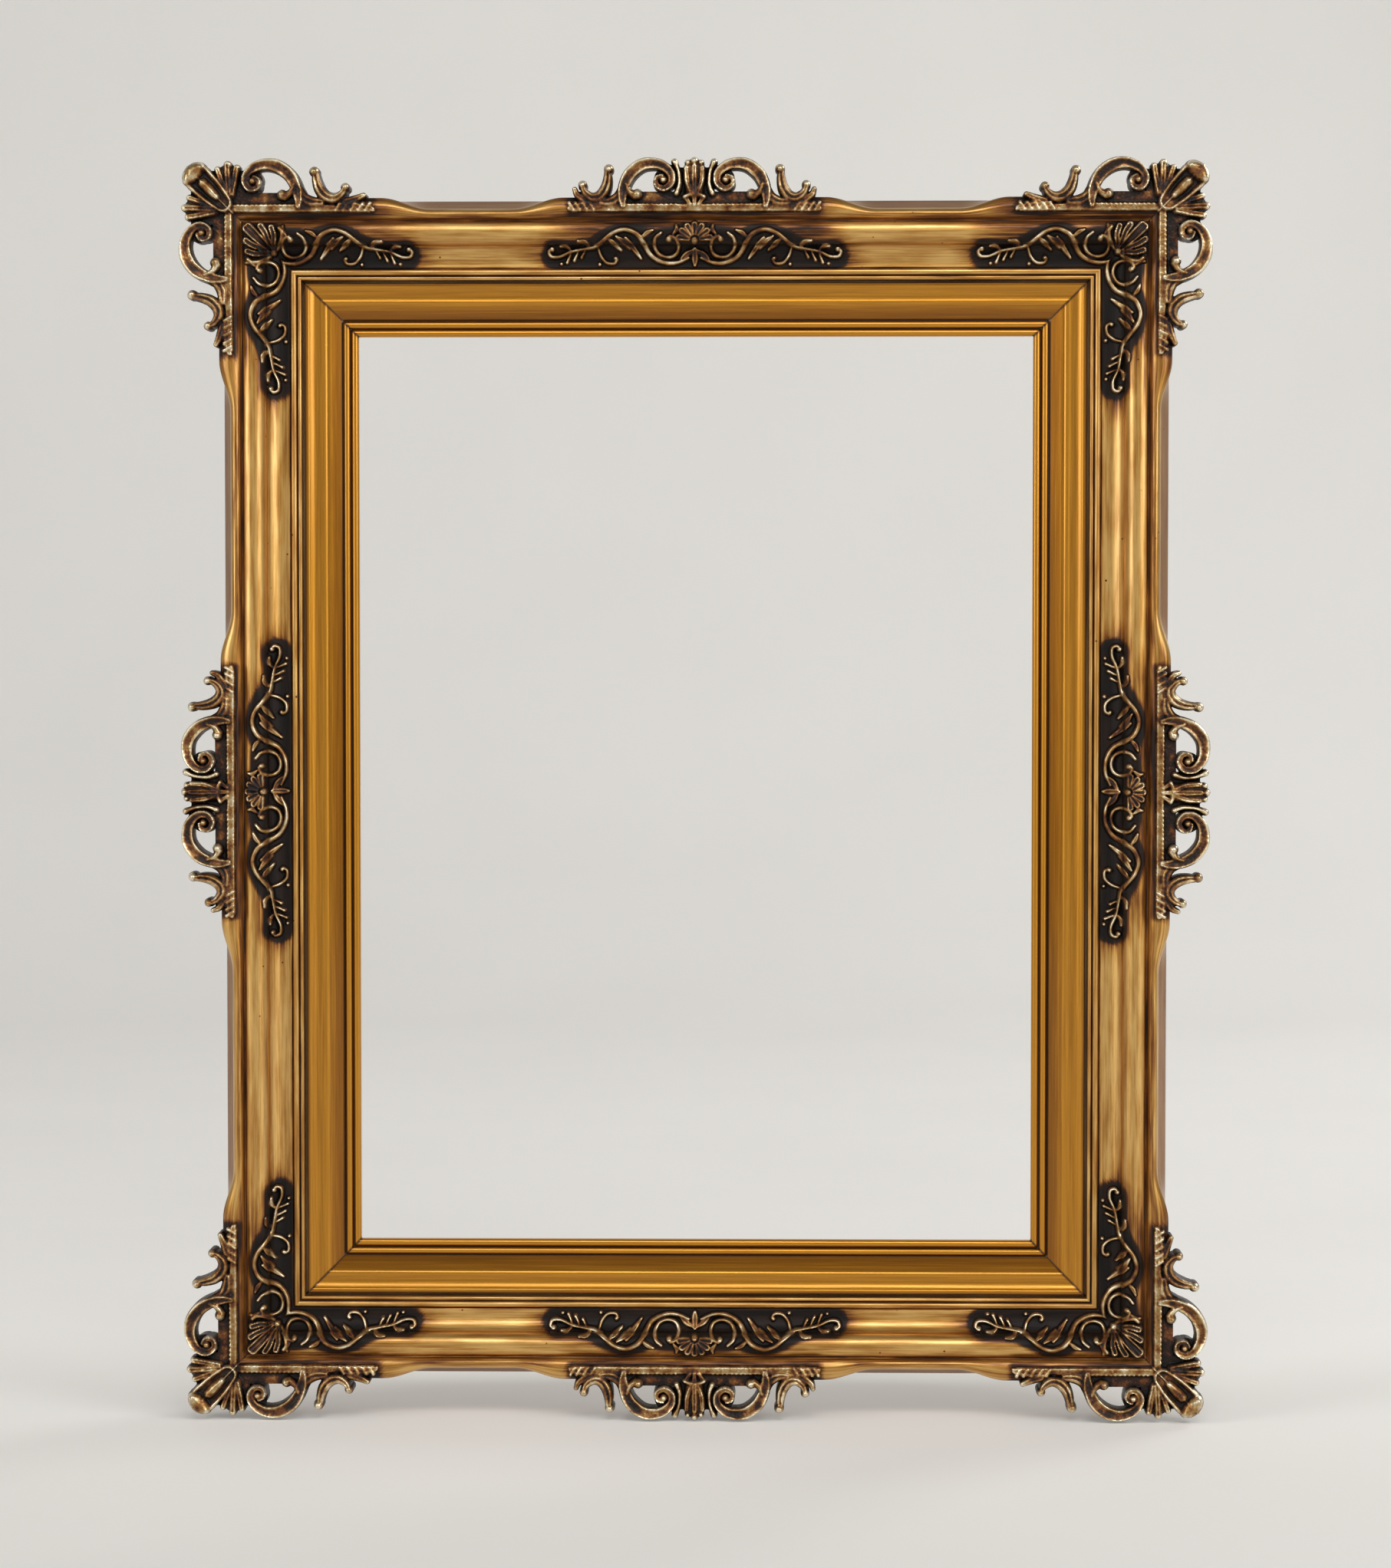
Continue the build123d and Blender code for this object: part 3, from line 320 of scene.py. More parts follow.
def antique_gold_leaf():
    """Metal leaf over gesso, rubbed along its length, toned with a brown glaze and varnished.

    Clear leaf is a satin metal. The glaze, with the painted shade carried in the same tone, kills the metal
    and goes from red-brown to nearly black.
    Streaks show most where it is half wiped off, and a few flecks of it are spattered over the clear leaf.
    """
    made, tree, surface = new_material("antique_gold_leaf")
    streak = strand(tree, along_mm=26, across_mm=0.9)
    rubbed = node(tree, "ShaderNodeTexNoise", {"Vector": streak, "Scale": 1.0, "Detail": 5.0})
    patch = strand(tree, along_mm=22, across_mm=4)
    broad = node(tree, "ShaderNodeTexNoise", {"Vector": patch, "Scale": 1.0, "Detail": 5.0})
    spatter = strand(tree, along_mm=9, across_mm=9)
    spots = node(tree, "ShaderNodeTexVoronoi", {"Vector": spatter, "Scale": 1.0}, out="Distance")
    fleck = node(tree, "ShaderNodeMapRange", {
        "Value": spots, "From Min": 0.02, "From Max": 0.07, "To Min": 0.7, "To Max": 0.0,
    })
    tone = node(tree, "ShaderNodeAttribute", out="Fac", attribute_name="tone")
    streaks = node(tree, "ShaderNodeMath", {0: rubbed, 1: broad})
    streaks = node(tree, "ShaderNodeMath", {0: streaks, 1: 1.0}, operation="SUBTRACT")
    clear = node(tree, "ShaderNodeMath", {0: 1.0, 1: tone}, operation="SUBTRACT")
    half_wiped = node(tree, "ShaderNodeMath", {0: tone, 1: clear}, operation="MULTIPLY")
    amount = node(tree, "ShaderNodeMath", {0: half_wiped, 1: 2.6, 2: 0.3}, operation="MULTIPLY_ADD")
    rubbing = node(tree, "ShaderNodeAttribute", out="Fac", attribute_name="rubbing")
    amount = node(tree, "ShaderNodeMath", {0: amount, 1: rubbing}, operation="MULTIPLY")
    laid = node(tree, "ShaderNodeMath", {0: streaks, 1: amount, 2: tone}, operation="MULTIPLY_ADD")
    glaze_and_shade = node(tree, "ShaderNodeMath", {0: laid, 1: fleck}, operation="MAXIMUM")
    colour = node(tree, "ShaderNodeValToRGB", {"Fac": glaze_and_shade}, stops=[
        (0.0, "#E0B469"), (0.2, "#B9853B"), (0.42, "#7C4A20"), (0.66, "#2E1A0F"), (0.95, "#0D0805"),
    ])
    metal = node(tree, "ShaderNodeMapRange", {
        "Value": glaze_and_shade, "From Min": 0.25, "From Max": 0.75, "To Min": 0.95, "To Max": 0.1,
    })
    rough = node(tree, "ShaderNodeMapRange", {
        "Value": glaze_and_shade, "From Min": 0.0, "From Max": 0.8, "To Min": 0.36, "To Max": 0.5,
    })
    varnish = node(tree, "ShaderNodeMapRange", {
        "Value": glaze_and_shade, "From Min": 0.2, "From Max": 0.6, "To Min": 0.65, "To Max": 0.0,
    })
    bump = node(tree, "ShaderNodeBump", {"Height": rubbed, "Strength": 0.2, "Distance": 0.2 * MM})
    feed(tree, surface, {"Base Color": colour, "Metallic": metal, "Roughness": rough, "Normal": bump})
    feed(tree, surface, {"Coat Weight": varnish, "Coat Roughness": 0.14, "Specular IOR Level": 0.25})
    return made


def bare_softwood():
    """Planed softwood, darkened with age: long pale and brown grain, quite rough and with no gloss."""
    made, tree, surface = new_material("bare_softwood")
    fibre = strand(tree, along_mm=60, across_mm=1.4)
    grain = node(tree, "ShaderNodeTexNoise", {"Vector": fibre, "Scale": 1.0, "Detail": 6.0})
    joint = node(tree, "ShaderNodeAttribute", out="Fac", attribute_name="joint")
    shade = node(tree, "ShaderNodeMath", {0: grain, 1: joint}, operation="SUBTRACT")
    colour = node(tree, "ShaderNodeValToRGB", {"Fac": shade}, stops=[
        (0.0, "#2A1C11"), (0.3, "#7A5A3A"), (0.5, "#A07E55"), (0.7, "#C2A172"),
    ])
    bump = node(tree, "ShaderNodeBump", {"Height": grain, "Strength": 0.3, "Distance": 0.3 * MM})
    feed(tree, surface, {"Base Color": colour, "Roughness": 0.75, "Normal": bump})
    return made


GOLD_LEAF, SOFTWOOD = antique_gold_leaf(), bare_softwood()


def bare_back(mesh, finish, is_back):
    """Gives a member its face finish, and bare wood where it lies against the wall, slip or picture."""
    mesh.materials.append(finish)
    mesh.materials.append(SOFTWOOD)
    for face in mesh.polygons:
        face.material_index = 1 if is_back(face.center) else 0


# How near to a bare face a spot counts as on it
BACK_NEAR, WALL_NEAR, LEDGE_NEAR = 0.01, 0.3, 0.05


def rail_back(spot):
    """The back, the wall against the slip and the ledge above it."""
    on_wall = spot.y < MOULD_WALL + WALL_NEAR and spot.z < MOULD_UNDER + LEDGE_NEAR
    return spot.z < BACK_NEAR or on_wall


rails = {}
outline = rail_outline()
for side, (matrix, span) in MEMBERS.items():
    mesh = closed_run(f"{side}_moulding", outline, span, STATION, scooped)
    bare_back(mesh, GOLD_LEAF, rail_back)
    rails[side] = place(mesh, f"{side}_moulding", matrix, CRISP_ANGLE)
    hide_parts(f"{side}_rail")
    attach(rails[side], "frame")

# Slip
# The inner gilt frame: four mitred lengths with two sight beads, a slope, a cove and an outer fillet.
# It is gold-coloured paint under a warm lacquer, plainer and more ochre than the leaf outside it.

# Places across the slip, outward from the sight edge
SIGHT_BEAD_OUT, SECOND_BEAD_IN, REBATE_WALL, SECOND_BEAD_OUT = 3.0, 3.6, 6.0, 6.6
RIDGE_IN, SLOPE_OUT, RIDGE_OUT = 12.6, 14.0, 15.3
COVE_MIDDLE, COVE_OUT, SLIP_FACE, SLIP_OUT = 17.8, 20.8, 22.4, 29.7

# Heights from the moulding's back
SLIP_BACK, LEDGE, SIGHT_BEAD_FOOT, SECOND_BEAD_FOOT = 3.6, 11.6, 13.8, 14.5
RIDGE_FOOT, RIDGE_TOP, RIDGE_END = 19.35, 20.25, 20.15
COVE_LOW, FILLET_TOP, TONGUE_TOP = 20.2, 21.9, 18.2
PAINT_ROUND, SLIP_STATION = 0.35, 8.0

# Painted shade on the slope, glaze in the cove, glaze in the grooves and a painted shadow in the gap under
# the moulding (each a place and a width), and glaze at the mitres
SLOPE_SHADE, COVE_TONE, GROOVE_AND_GAP_TONE = 0.24, 0.07, 0.75
GROOVES_AND_GAP = ((SIGHT_BEAD_OUT + 0.3, 0.35), (SECOND_BEAD_OUT, 0.4), (SLIP_FACE + 0.5, 0.9))
MITRE_TONE, MITRE_WIDTH = 0.7, 0.5


def slip_outline():
    """The slip's closed outline, from the rebate round the face to the tongue."""
    points = [(REBATE_WALL, SLIP_BACK), (REBATE_WALL, LEDGE), (0.0, LEDGE), (0.0, SIGHT_BEAD_FOOT)]
    points += round_up(points[-1], (SIGHT_BEAD_OUT, SECOND_BEAD_FOOT), steps=12)
    points += [(SIGHT_BEAD_OUT, SIGHT_BEAD_FOOT), (SECOND_BEAD_IN, SIGHT_BEAD_FOOT)]
    points += [(SECOND_BEAD_IN, SECOND_BEAD_FOOT)]
    points += round_up(points[-1], (SECOND_BEAD_OUT, SECOND_BEAD_FOOT), steps=12)
    points += straight(points[-1], (RIDGE_IN, RIDGE_FOOT), longest=1.6)
    points += arc(points[-1], (SLOPE_OUT, RIDGE_TOP), (RIDGE_OUT, RIDGE_END), steps=8)
    points += arc(points[-1], (COVE_MIDDLE, COVE_LOW), (COVE_OUT, FILLET_TOP), steps=8)
    points += [(SLIP_FACE, FILLET_TOP), (SLIP_FACE, TONGUE_TOP), (SLIP_OUT, TONGUE_TOP)]
    points += [(SLIP_OUT, SLIP_BACK)]
    points += straight(points[-1], (REBATE_WALL, SLIP_BACK), longest=8)[:-1]
    return soften(points, PAINT_ROUND)


def lacquered_gold():
    """Gold bronze paint under an amber lacquer: an even satin metal, with brown glaze left in its grooves,
    painted shade on its slope and a painted shadow in the gap under the moulding.
    """
    made, tree, surface = new_material("lacquered_gold")
    stroke = strand(tree, along_mm=40, across_mm=0.8)
    brushed = node(tree, "ShaderNodeTexNoise", {"Vector": stroke, "Scale": 1.0, "Detail": 4.0})
    tone = node(tree, "ShaderNodeAttribute", out="Fac", attribute_name="tone")
    spread = node(tree, "ShaderNodeMath", {0: brushed, 1: 0.5}, operation="SUBTRACT")
    glaze_and_shade = node(tree, "ShaderNodeMath", {0: spread, 1: 0.35, 2: tone}, operation="MULTIPLY_ADD")
    colour = node(tree, "ShaderNodeValToRGB", {"Fac": glaze_and_shade}, stops=[
        (0.0, "#C88A24"), (0.2, "#9C620A"), (0.45, "#5C3808"), (0.95, "#150D05"),
    ])
    metal = node(tree, "ShaderNodeMapRange", {
        "Value": glaze_and_shade, "From Min": 0.3, "From Max": 0.9, "To Min": 0.85, "To Max": 0.2,
    })
    bump = node(tree, "ShaderNodeBump", {"Height": brushed, "Strength": 0.12, "Distance": 0.2 * MM})
    feed(tree, surface, {"Base Color": colour, "Metallic": metal, "Roughness": 0.31, "Normal": bump})
    feed(tree, surface, {"Coat Weight": 0.4, "Coat Roughness": 0.12})
    return made


def slip_back(spot):
    """The back, the rebate and the tongue under the moulding."""
    return spot.z < LEDGE + LEDGE_NEAR or spot.y > SLIP_FACE + WALL_NEAR


def recall(mesh, name):
    """The numbers that store() kept."""
    values = np.zeros(len(mesh.vertices), np.float32)
    mesh.attributes[name].data.foreach_get("value", values)
    return values


LACQUERED_GOLD = lacquered_gold()
outline = slip_outline()
for side, (matrix, span) in MEMBERS.items():
    mesh = closed_run(f"{side}_slip", outline, span, SLIP_STATION)
    along, across = np.abs(recall(mesh, "along")), recall(mesh, "out")
    past_bead = smooth(SECOND_BEAD_OUT - 1, SECOND_BEAD_OUT, across)
    on_slope = past_bead * (1 - smooth(SECOND_BEAD_OUT + 2, SLOPE_OUT + 1, across))
    in_cove = smooth(SLOPE_OUT, SLOPE_OUT + 2, across) * (1 - smooth(COVE_OUT - 1, COVE_OUT, across))
    # The slope's darkening is painted shade; the cove's is glaze.
    tone = SLOPE_SHADE * on_slope + COVE_TONE * in_cove
    # The grooves keep glaze. The last line, at the slip's face, is a painted shadow in the gap under the
    # moulding.
    for groove, width in GROOVES_AND_GAP:
        tone = np.maximum(tone, GROOVE_AND_GAP_TONE * brushed_line(across - groove, width))
    tone = np.maximum(tone, MITRE_TONE * brushed_line(span / 2 + across - along, MITRE_WIDTH))
    store(mesh, "tone", tone)
    bare_back(mesh, LACQUERED_GOLD, slip_back)
    piece = place(mesh, f"{side}_slip", matrix, CRISP_ANGLE)
    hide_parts(f"slip_{side}")
    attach(piece, "frame")

# Crests
# Pierced castings of gilded composition, pressed in a mould and glued over the lip, one at each middle
# and one at each corner: a C-scroll with its eye, acanthus tips, a husk, and a cartouche or a rolled boss.

# Heights from the moulding's back, the base band's width, and how the back rises towards the tips
CREST_GROUND, CREST_BACK, BAND = 35.4, 25.0, 4.0
TIPS_FROM, TIPS_TO, TIPS_RISE = 8, 22, 5

# How far out a crest's map goes, its margin and spacing, and the distance past which a line has no effect
CENTRE_REACH, CORNER_REACH, MAP_MARGIN, GRID = 26, 25, 1, 0.32
FAR, BALL_RUN, LEAST_SLOPE, SPOTS_AT_ONCE = 9.0, 0.01, 0.2, 4000
CAST_ANGLE = 60

# Leaf that shows on the back, on the base band and with height, and the fine pits of the casting
BACK_TONE, BAND_GOLD, HEIGHT_GOLD = 0.3, 0.16, 0.012
PIT_DEPTH = 0.16
PITS = np.random.default_rng(7)


def line_through(points, step=0.3):
    """Closely spaced points (along, out, half width) of a smooth line through a few given ones."""
    knots = np.array(points, float)
    padded = np.vstack([2 * knots[0] - knots[1], knots, 2 * knots[-1] - knots[-2]])
    runs = []
    for a, b, c, d in zip(padded, padded[1:], padded[2:], padded[3:]):
        count = max(2, int(np.hypot(*(c - b)[:2]) / step))
        t = np.linspace(0, 1, count, endpoint=False)[:, None]
        runs.append(b + 0.5 * t * (c - a + t * (2 * a - 5 * b + 4 * c - d + t * (3 * (b - c) + d - a))))
    return np.vstack(runs + [knots[-1:]])


def reach(along, out, line):
    """How far inside a line's half width each spot lies, and its share of that width: above 0 on the left."""
    spots = np.stack([along.ravel(), out.ravel()], axis=1)
    heading = np.gradient(line[:, :2], axis=0)
    inside = np.full(len(spots), -FAR)
    share = np.full(len(spots), FAR)
    low, high = line[:, :2].min(0) - FAR, line[:, :2].max(0) + FAR
    near = np.flatnonzero(np.all((spots > low) & (spots < high), axis=1))
    for part in np.array_split(near, max(1, len(near) // SPOTS_AT_ONCE)):
        gaps = np.linalg.norm(spots[part, None] - line[None, :, :2], axis=2)
        best = (gaps - line[None, :, 2]).argmin(axis=1)
        gap, half = gaps[np.arange(len(part)), best], line[best, 2]
        offset, ahead = spots[part] - line[best, :2], heading[best]
        side = np.sign(ahead[:, 0] * offset[:, 1] - ahead[:, 1] * offset[:, 0])
        inside[part], share[part] = half - gap, side * gap / half
    return inside.reshape(along.shape), share.reshape(along.shape)


def rod(share):
    """A round stem."""
    return np.sqrt(np.clip(1 - share**2, 0, 1))


def edge(share, start):
    """Rounds a form off from a share of its width out to its edge."""
    return np.sqrt(1 - np.clip((np.abs(share) - start) / (1 - start), 0, 1) ** 2)


def ribbon(share):
    """A scroll's ribbon: a high rim on its outer side, a hollow, and a lower rim on its inner side."""
    across = np.interp(share, (-1, -0.75, -0.35, 0.3, 0.8, 1), (1, 1, 0.76, 0.64, 0.78, 0.78))
    return edge(share, 0.7) * across


def dish(share):
    """A tongue with a narrow raised rim on both sides."""
    return edge(share, 0.82) * (0.6 + 0.4 * np.clip((np.abs(share) - 0.55) / 0.25, 0, 1))


def leaf(share):
    """A swelling leaf with a vein sunk along its middle."""
    return rod(share) - 0.35 * brushed_line(share, 0.22)


def petal(share):
    """A cupped petal: hollow, with a round rim."""
    return edge(share, 0.5) * (0.5 + 0.5 * np.clip(np.abs(share) / 0.6, 0, 1) ** 2)


def flat(share):
    """A fillet: flat on top, with bevelled edges."""
    return np.clip((1 - np.abs(share)) * 3, 0, 1)


def carve(along, out, ground, strokes):
    """How far inside a casting each spot lies, and how high it stands there. A single point gives a ball."""
    inside, height = ground(along, out), np.zeros(along.shape)
    for form, top, points in strokes:
        if len(points) == 1:
            (start, *rest) = points[0]
            points = [points[0], (start + BALL_RUN, *rest)]
        depth, share = reach(along, out, line_through(points))
        inside = np.maximum(inside, depth)
        height = np.maximum(height, top * form(share))
    return inside, height


def soft(height, times):
    """Blurs a height map slightly, as plaster fills the sharp places of a mould."""
    for _ in range(times):
        for axis in (0, 1):
            ahead, back = np.roll(height, -1, axis), np.roll(height, 1, axis)
            height = (ahead + 2 * height + back) / 4
    return height


def relief_mesh(name, x, y, inside, front, back, relief):
    """A closed casting from maps over an even grid, cut where inside is below zero."""
    keep = inside > 0
    cells = keep[:-1, :-1] | keep[1:, :-1] | keep[:-1, 1:] | keep[1:, 1:]
    used = np.zeros(keep.shape, bool)
    for rows in (slice(None, -1), slice(1, None)):
        for columns in (slice(None, -1), slice(1, None)):
            used[rows, columns] |= cells
    slope_x, slope_y = np.gradient(inside, GRID)
    steep = np.maximum(slope_x**2 + slope_y**2, LEAST_SLOPE)
    pull = np.where(used & ~keep, -inside, 0)
    x = x + np.clip(pull * slope_x / steep, -GRID, GRID)
    y = y + np.clip(pull * slope_y / steep, -GRID, GRID)
    index = np.full(keep.shape, -1)
    index[used] = np.arange(used.sum())
    count = int(used.sum())
    corners = [index[:-1, :-1], index[1:, :-1], index[1:, 1:], index[:-1, 1:]]
    faces = np.stack([corner[cells] for corner in corners], axis=1)
    edges = np.concatenate([faces[:, [i, (i + 1) % 4]] for i in range(4)])
    code = edges.min(1).astype(np.int64) * count + edges.max(1)
    _, first, times = np.unique(code, return_index=True, return_counts=True)
    rim = edges[first[times == 1]]
    walls = np.stack([rim[:, 1], rim[:, 0], rim[:, 0] + count, rim[:, 1] + count], axis=1)
    points = [np.stack([x[used], y[used], level[used]], axis=1) for level in (front, back)]
    mesh = bpy.data.meshes.new(name)
    mesh.from_pydata(np.vstack(points), [], np.vstack([faces, faces[:, ::-1] + count, walls]).tolist())
    store(mesh, "relief", np.concatenate([relief[used], np.full(count, BACK_TONE)]))
    on_back = np.repeat(np.array([0, 1, 0], np.int32), (len(faces), len(faces), len(walls)))
    mesh.polygons.foreach_set("material_index", on_back)
    return mesh


def grid_over(low_x, high_x, low_y, high_y):
    """Even places over a rectangle, in millimetres."""
    columns = np.arange(low_x, high_x + GRID, GRID)
    rows = np.arange(low_y, high_y + GRID, GRID)
    return np.meshgrid(columns, rows, indexing="ij")


def box_field(along, out, low, high):
    """How far inside a rectangle each spot lies."""
    return np.minimum(
        np.minimum(along - low[0], high[0] - along), np.minimum(out - low[1], high[1] - out)
    )


def tail_lobes(places):
    """The slanting lobes along a crest's tail, like a twist of rope."""
    return [(rod, 2.6, [(u - 1.0, 0.9, 0.9), (u + 0.8, 3.8, 1.1)]) for u in places]


def pellets(first, last, out, radius):
    """A row of small round pellets on a crest's base band."""
    count = round((last - first) / (2.3 * radius))
    return [(rod, 2.1, [(first + (last - first) * i / count, out, radius)]) for i in range(count + 1)]


# Each stroke is a form, its height, and its middle line's points: along, out and half width
CENTRE_STROKES = [
    # Base band
    (flat, 1.7, [(0, BAND / 2, BAND / 2), (36, BAND / 2, BAND / 2), (52, 0.9, 0.9)]),
    # C-scroll with its eye, and the curl and ball inside its foot
    (ribbon, 4.4, [
        (30.2, 2.8, 1.2), (30.5, 6.2, 2.0), (29.8, 11.0, 2.6), (27.0, 16.4, 2.9), (21.4, 20.2, 2.8),
        (14.6, 20.0, 2.4), (10.2, 16.6, 2.0), (9.8, 12.4, 1.7), (12.8, 10.0, 1.5), (16.0, 11.4, 1.3),
        (15.9, 14.4, 1.1), (13.7, 15.2, 1.0),
    ]),
    (rod, 4.4, [(13.2, 13.6, 1.9)]),
    (rod, 4.0, [(29.0, 12.0, 1.0), (27.8, 8.8, 1.6), (25.2, 7.0, 1.9)]),
    (rod, 4.8, [(24.2, 7.6, 2.3)]),
    # Leaf along the base, and a hook with a ball at each end
    (leaf, 3.2, [(31.2, 10.4, 1.2), (32.4, 6.6, 2.2), (35.4, 4.6, 2.3), (39.4, 4.2, 1.6)]),
    (leaf, 3.8, [
        (47.6, 11.0, 1.2), (46.2, 8.2, 1.7), (43.4, 6.2, 2.2), (40.2, 6.8, 2.5), (37.8, 10.0, 2.4),
        (36.8, 14.0, 2.0), (36.8, 17.2, 1.5),
    ]),
    (rod, 4.4, [(36.3, 18.2, 2.1)]),
    (rod, 3.8, [(47.4, 11.6, 1.9)]),
    # Leaves of the tail
    (leaf, 2.4, [(45.5, 4.5, 2.0), (49.5, 7.2, 1.5), (50.8, 9.8, 1.1)]),
    (leaf, 2.2, [(40, 3, 1.8), (47, 2.8, 2.3), (52, 2.0, 1.8), (53.6, 1.4, 0.6)]),
    # Stem beside the cartouche
    (rod, 3.4, [(8.4, 21.2, 1.5), (7.0, 18, 1.1), (6.4, 14.6, 1.0), (6.5, 11, 1.1), (7.6, 8.0, 1.4)]),
    # Cartouche: three leaves with beads at their tips, on a collar and a foot
    (flat, 2.6, [(0, 9.0, 4.2), (0, 18.0, 4.6)]),
    (leaf, 4.6, [(0, 8.0, 1.1), (0, 13.0, 1.7), (0, 19.2, 1.5)]),
    (leaf, 4.0, [(1.3, 8.2, 1.0), (3.0, 13.2, 1.4), (3.4, 18.6, 1.3)]),
    (rod, 4.8, [(0, 21.6, 1.7)]),
    (rod, 4.2, [(2.8, 20.8, 1.4)]),
    (rod, 3.6, [(0, 7.4, 1.2), (2.4, 7.2, 1.2), (4.2, 6.4, 1.1)]),
    (leaf, 3.0, [(0, 3.4, 1.0), (0, 6.2, 1.5)]),
    (leaf, 2.8, [(1.8, 3.4, 0.9), (3.4, 5.8, 1.3)]),
] + tail_lobes((43.6, 46.6, 49.6, 52.2)) + pellets(8, 30, 3.2, 0.9)


def centre_ground(along, out):
    """The flat ground between the ornaments of a centre crest."""
    band = box_field(along, out, (-9, 0), (33, 8.8))
    block = box_field(along, out, (-9, 0), (8.5, 19.0))
    eye = 4.2 - np.hypot(along - 12.9, out - 14.3)
    return np.maximum(np.maximum(band, block), eye)


CORNER_STROKES = [
    # Base band
    (flat, 1.7, [(-BAND / 2, BAND / 2, BAND / 2), (38, BAND / 2, BAND / 2), (58, 0.9, 0.9)]),
    # C-scroll with its eye, and the curl and ball inside its foot
    (ribbon, 4.4, [
        (28.0, 2.8, 1.2), (28.0, 6.2, 2.0), (27.0, 11.0, 2.6), (24.0, 16.2, 2.9), (18.8, 19.8, 2.9),
        (12.8, 20.4, 2.5), (7.6, 18.0, 2.1), (5.2, 13.8, 1.7), (7.0, 10.3, 1.5), (10.4, 10.6, 1.3),
        (11.1, 13.6, 1.1), (9.1, 15.0, 1.0),
    ]),
    (rod, 4.4, [(8.5, 13.4, 1.9)]),
    (rod, 4.0, [(26.2, 12.0, 1.0), (24.8, 8.8, 1.6), (22.0, 7.0, 1.9)]),
    (rod, 4.8, [(21.0, 7.6, 2.3)]),
    # Leaf along the base, and a hook with a ball at each end
    (leaf, 3.2, [(28.6, 10.6, 1.3), (29.8, 6.8, 2.3), (33.0, 4.8, 2.5), (37.6, 4.4, 1.8)]),
    (leaf, 3.8, [
        (47.8, 10.4, 1.2), (46.4, 8.0, 1.7), (43.4, 6.2, 2.3), (40.0, 6.8, 2.6), (37.2, 9.6, 2.5),
        (35.8, 13.2, 2.1), (35.3, 16.4, 1.6),
    ]),
    (rod, 4.4, [(34.7, 17.4, 2.2)]),
    (rod, 3.8, [(47.8, 10.8, 1.9)]),
    # Leaves of the tail
    (leaf, 2.4, [(48, 4.4, 2.1), (52.6, 6, 1.7), (55.6, 7.4, 1.2)]),
    (leaf, 2.2, [(46, 3, 1.9), (53, 2.6, 2.2), (58.5, 1.8, 1.5), (60, 1.0, 0.5)]),
    # Husk of three leaves
    (flat, 2.0, [(-1.4, 8.0, 3.2), (-2.0, 16.6, 4.2)]),
    (leaf, 3.8, [(-0.2, 8.0, 1.3), (0.9, 14.0, 1.6), (1.7, 19.0, 1.6)]),
    (leaf, 4.2, [(-1.5, 7.6, 1.3), (-1.9, 14.0, 1.7), (-2.2, 20.4, 1.7)]),
    (leaf, 3.8, [(-2.9, 8.6, 1.3), (-4.8, 14.0, 1.5), (-6.4, 18.4, 1.5)]),
    # Tongue on the mitre, with a roll at its tip and a pod in its dish
    (dish, 4.4, [(-4.2, 4.2, 4.2), (-9.4, 9.4, 5.8), (-14.6, 14.6, 6.2)]),
    (rod, 6.8, [(-16.6, 16.6, 4.2), (-15.4, 17.8, 3.8), (-14.0, 18.8, 2.8)]),
    (rod, 6.0, [(-6.6, 6.6, 1.8), (-9.4, 9.4, 2.6), (-12.4, 12.4, 2.6)]),
] + tail_lobes((44.8, 48.0, 51.2, 54.4, 57.4)) + pellets(2, 30, 3.2, 0.9)


def corner_ground(along, out):
    """The flat ground between the ornaments of a corner crest."""
    band = box_field(along, out, (-30, 0), (31, 8.6))
    band = np.minimum(band, 11.5 - np.maximum(-along, 0))
    block = box_field(along, out, (-11.5, 0), (5, 18.0))
    eye = 4.2 - np.hypot(along - 8.5, out - 14.2)
    return np.maximum(np.maximum(band, np.minimum(block, 11.5 + along)), eye)


def gilded_composition():
    """Cast composition leafed all over, then glazed: metal shows where the ridges are rubbed clean.

    The hollows keep a nearly black brown, and the flanks a red-brown over dulled leaf. The pale ridges are
    rubbed leaf and painted highlight, and the dark hollows glaze and painted shade.
    """
    made, tree, surface = new_material("gilded_composition")
    where = node(tree, "ShaderNodeTexCoord", out="Object")
    patches = node(tree, "ShaderNodeTexNoise", {"Vector": where, "Scale": 1 / (6 * MM), "Detail": 6.0})
    grains = node(tree, "ShaderNodeTexNoise", {"Vector": where, "Scale": 1 / (1.1 * MM), "Detail": 2.0})
    rub = node(tree, "ShaderNodeAttribute", out="Fac", attribute_name="relief")
    spread = node(tree, "ShaderNodeMath", {0: patches, 1: 0.5}, operation="SUBTRACT")
    wear_and_highlight = node(tree, "ShaderNodeMath", {0: spread, 1: 1.5, 2: rub}, operation="MULTIPLY_ADD")
    colour = node(tree, "ShaderNodeValToRGB", {"Fac": wear_and_highlight}, stops=[
        (0.05, "#0D0907"), (0.3, "#2E1B12"), (0.48, "#74472A"),
        (0.6, "#9C7443"), (0.76, "#B79C70"), (1.0, "#EFE2C4"),
    ])
    metal = node(tree, "ShaderNodeMapRange", {
        "Value": wear_and_highlight, "From Min": 0.25, "From Max": 0.65, "To Min": 0.1, "To Max": 0.9,
    })
    rough = node(tree, "ShaderNodeMapRange", {
        "Value": wear_and_highlight, "From Min": 0.2, "From Max": 0.8, "To Min": 0.45, "To Max": 0.32,
    })
    bump = node(tree, "ShaderNodeBump", {"Height": grains, "Strength": 0.2, "Distance": 0.2 * MM})
    feed(tree, surface, {"Base Color": colour, "Metallic": metal, "Roughness": rough, "Normal": bump})
    feed(tree, surface, {"Specular IOR Level": 0.3})
    return made


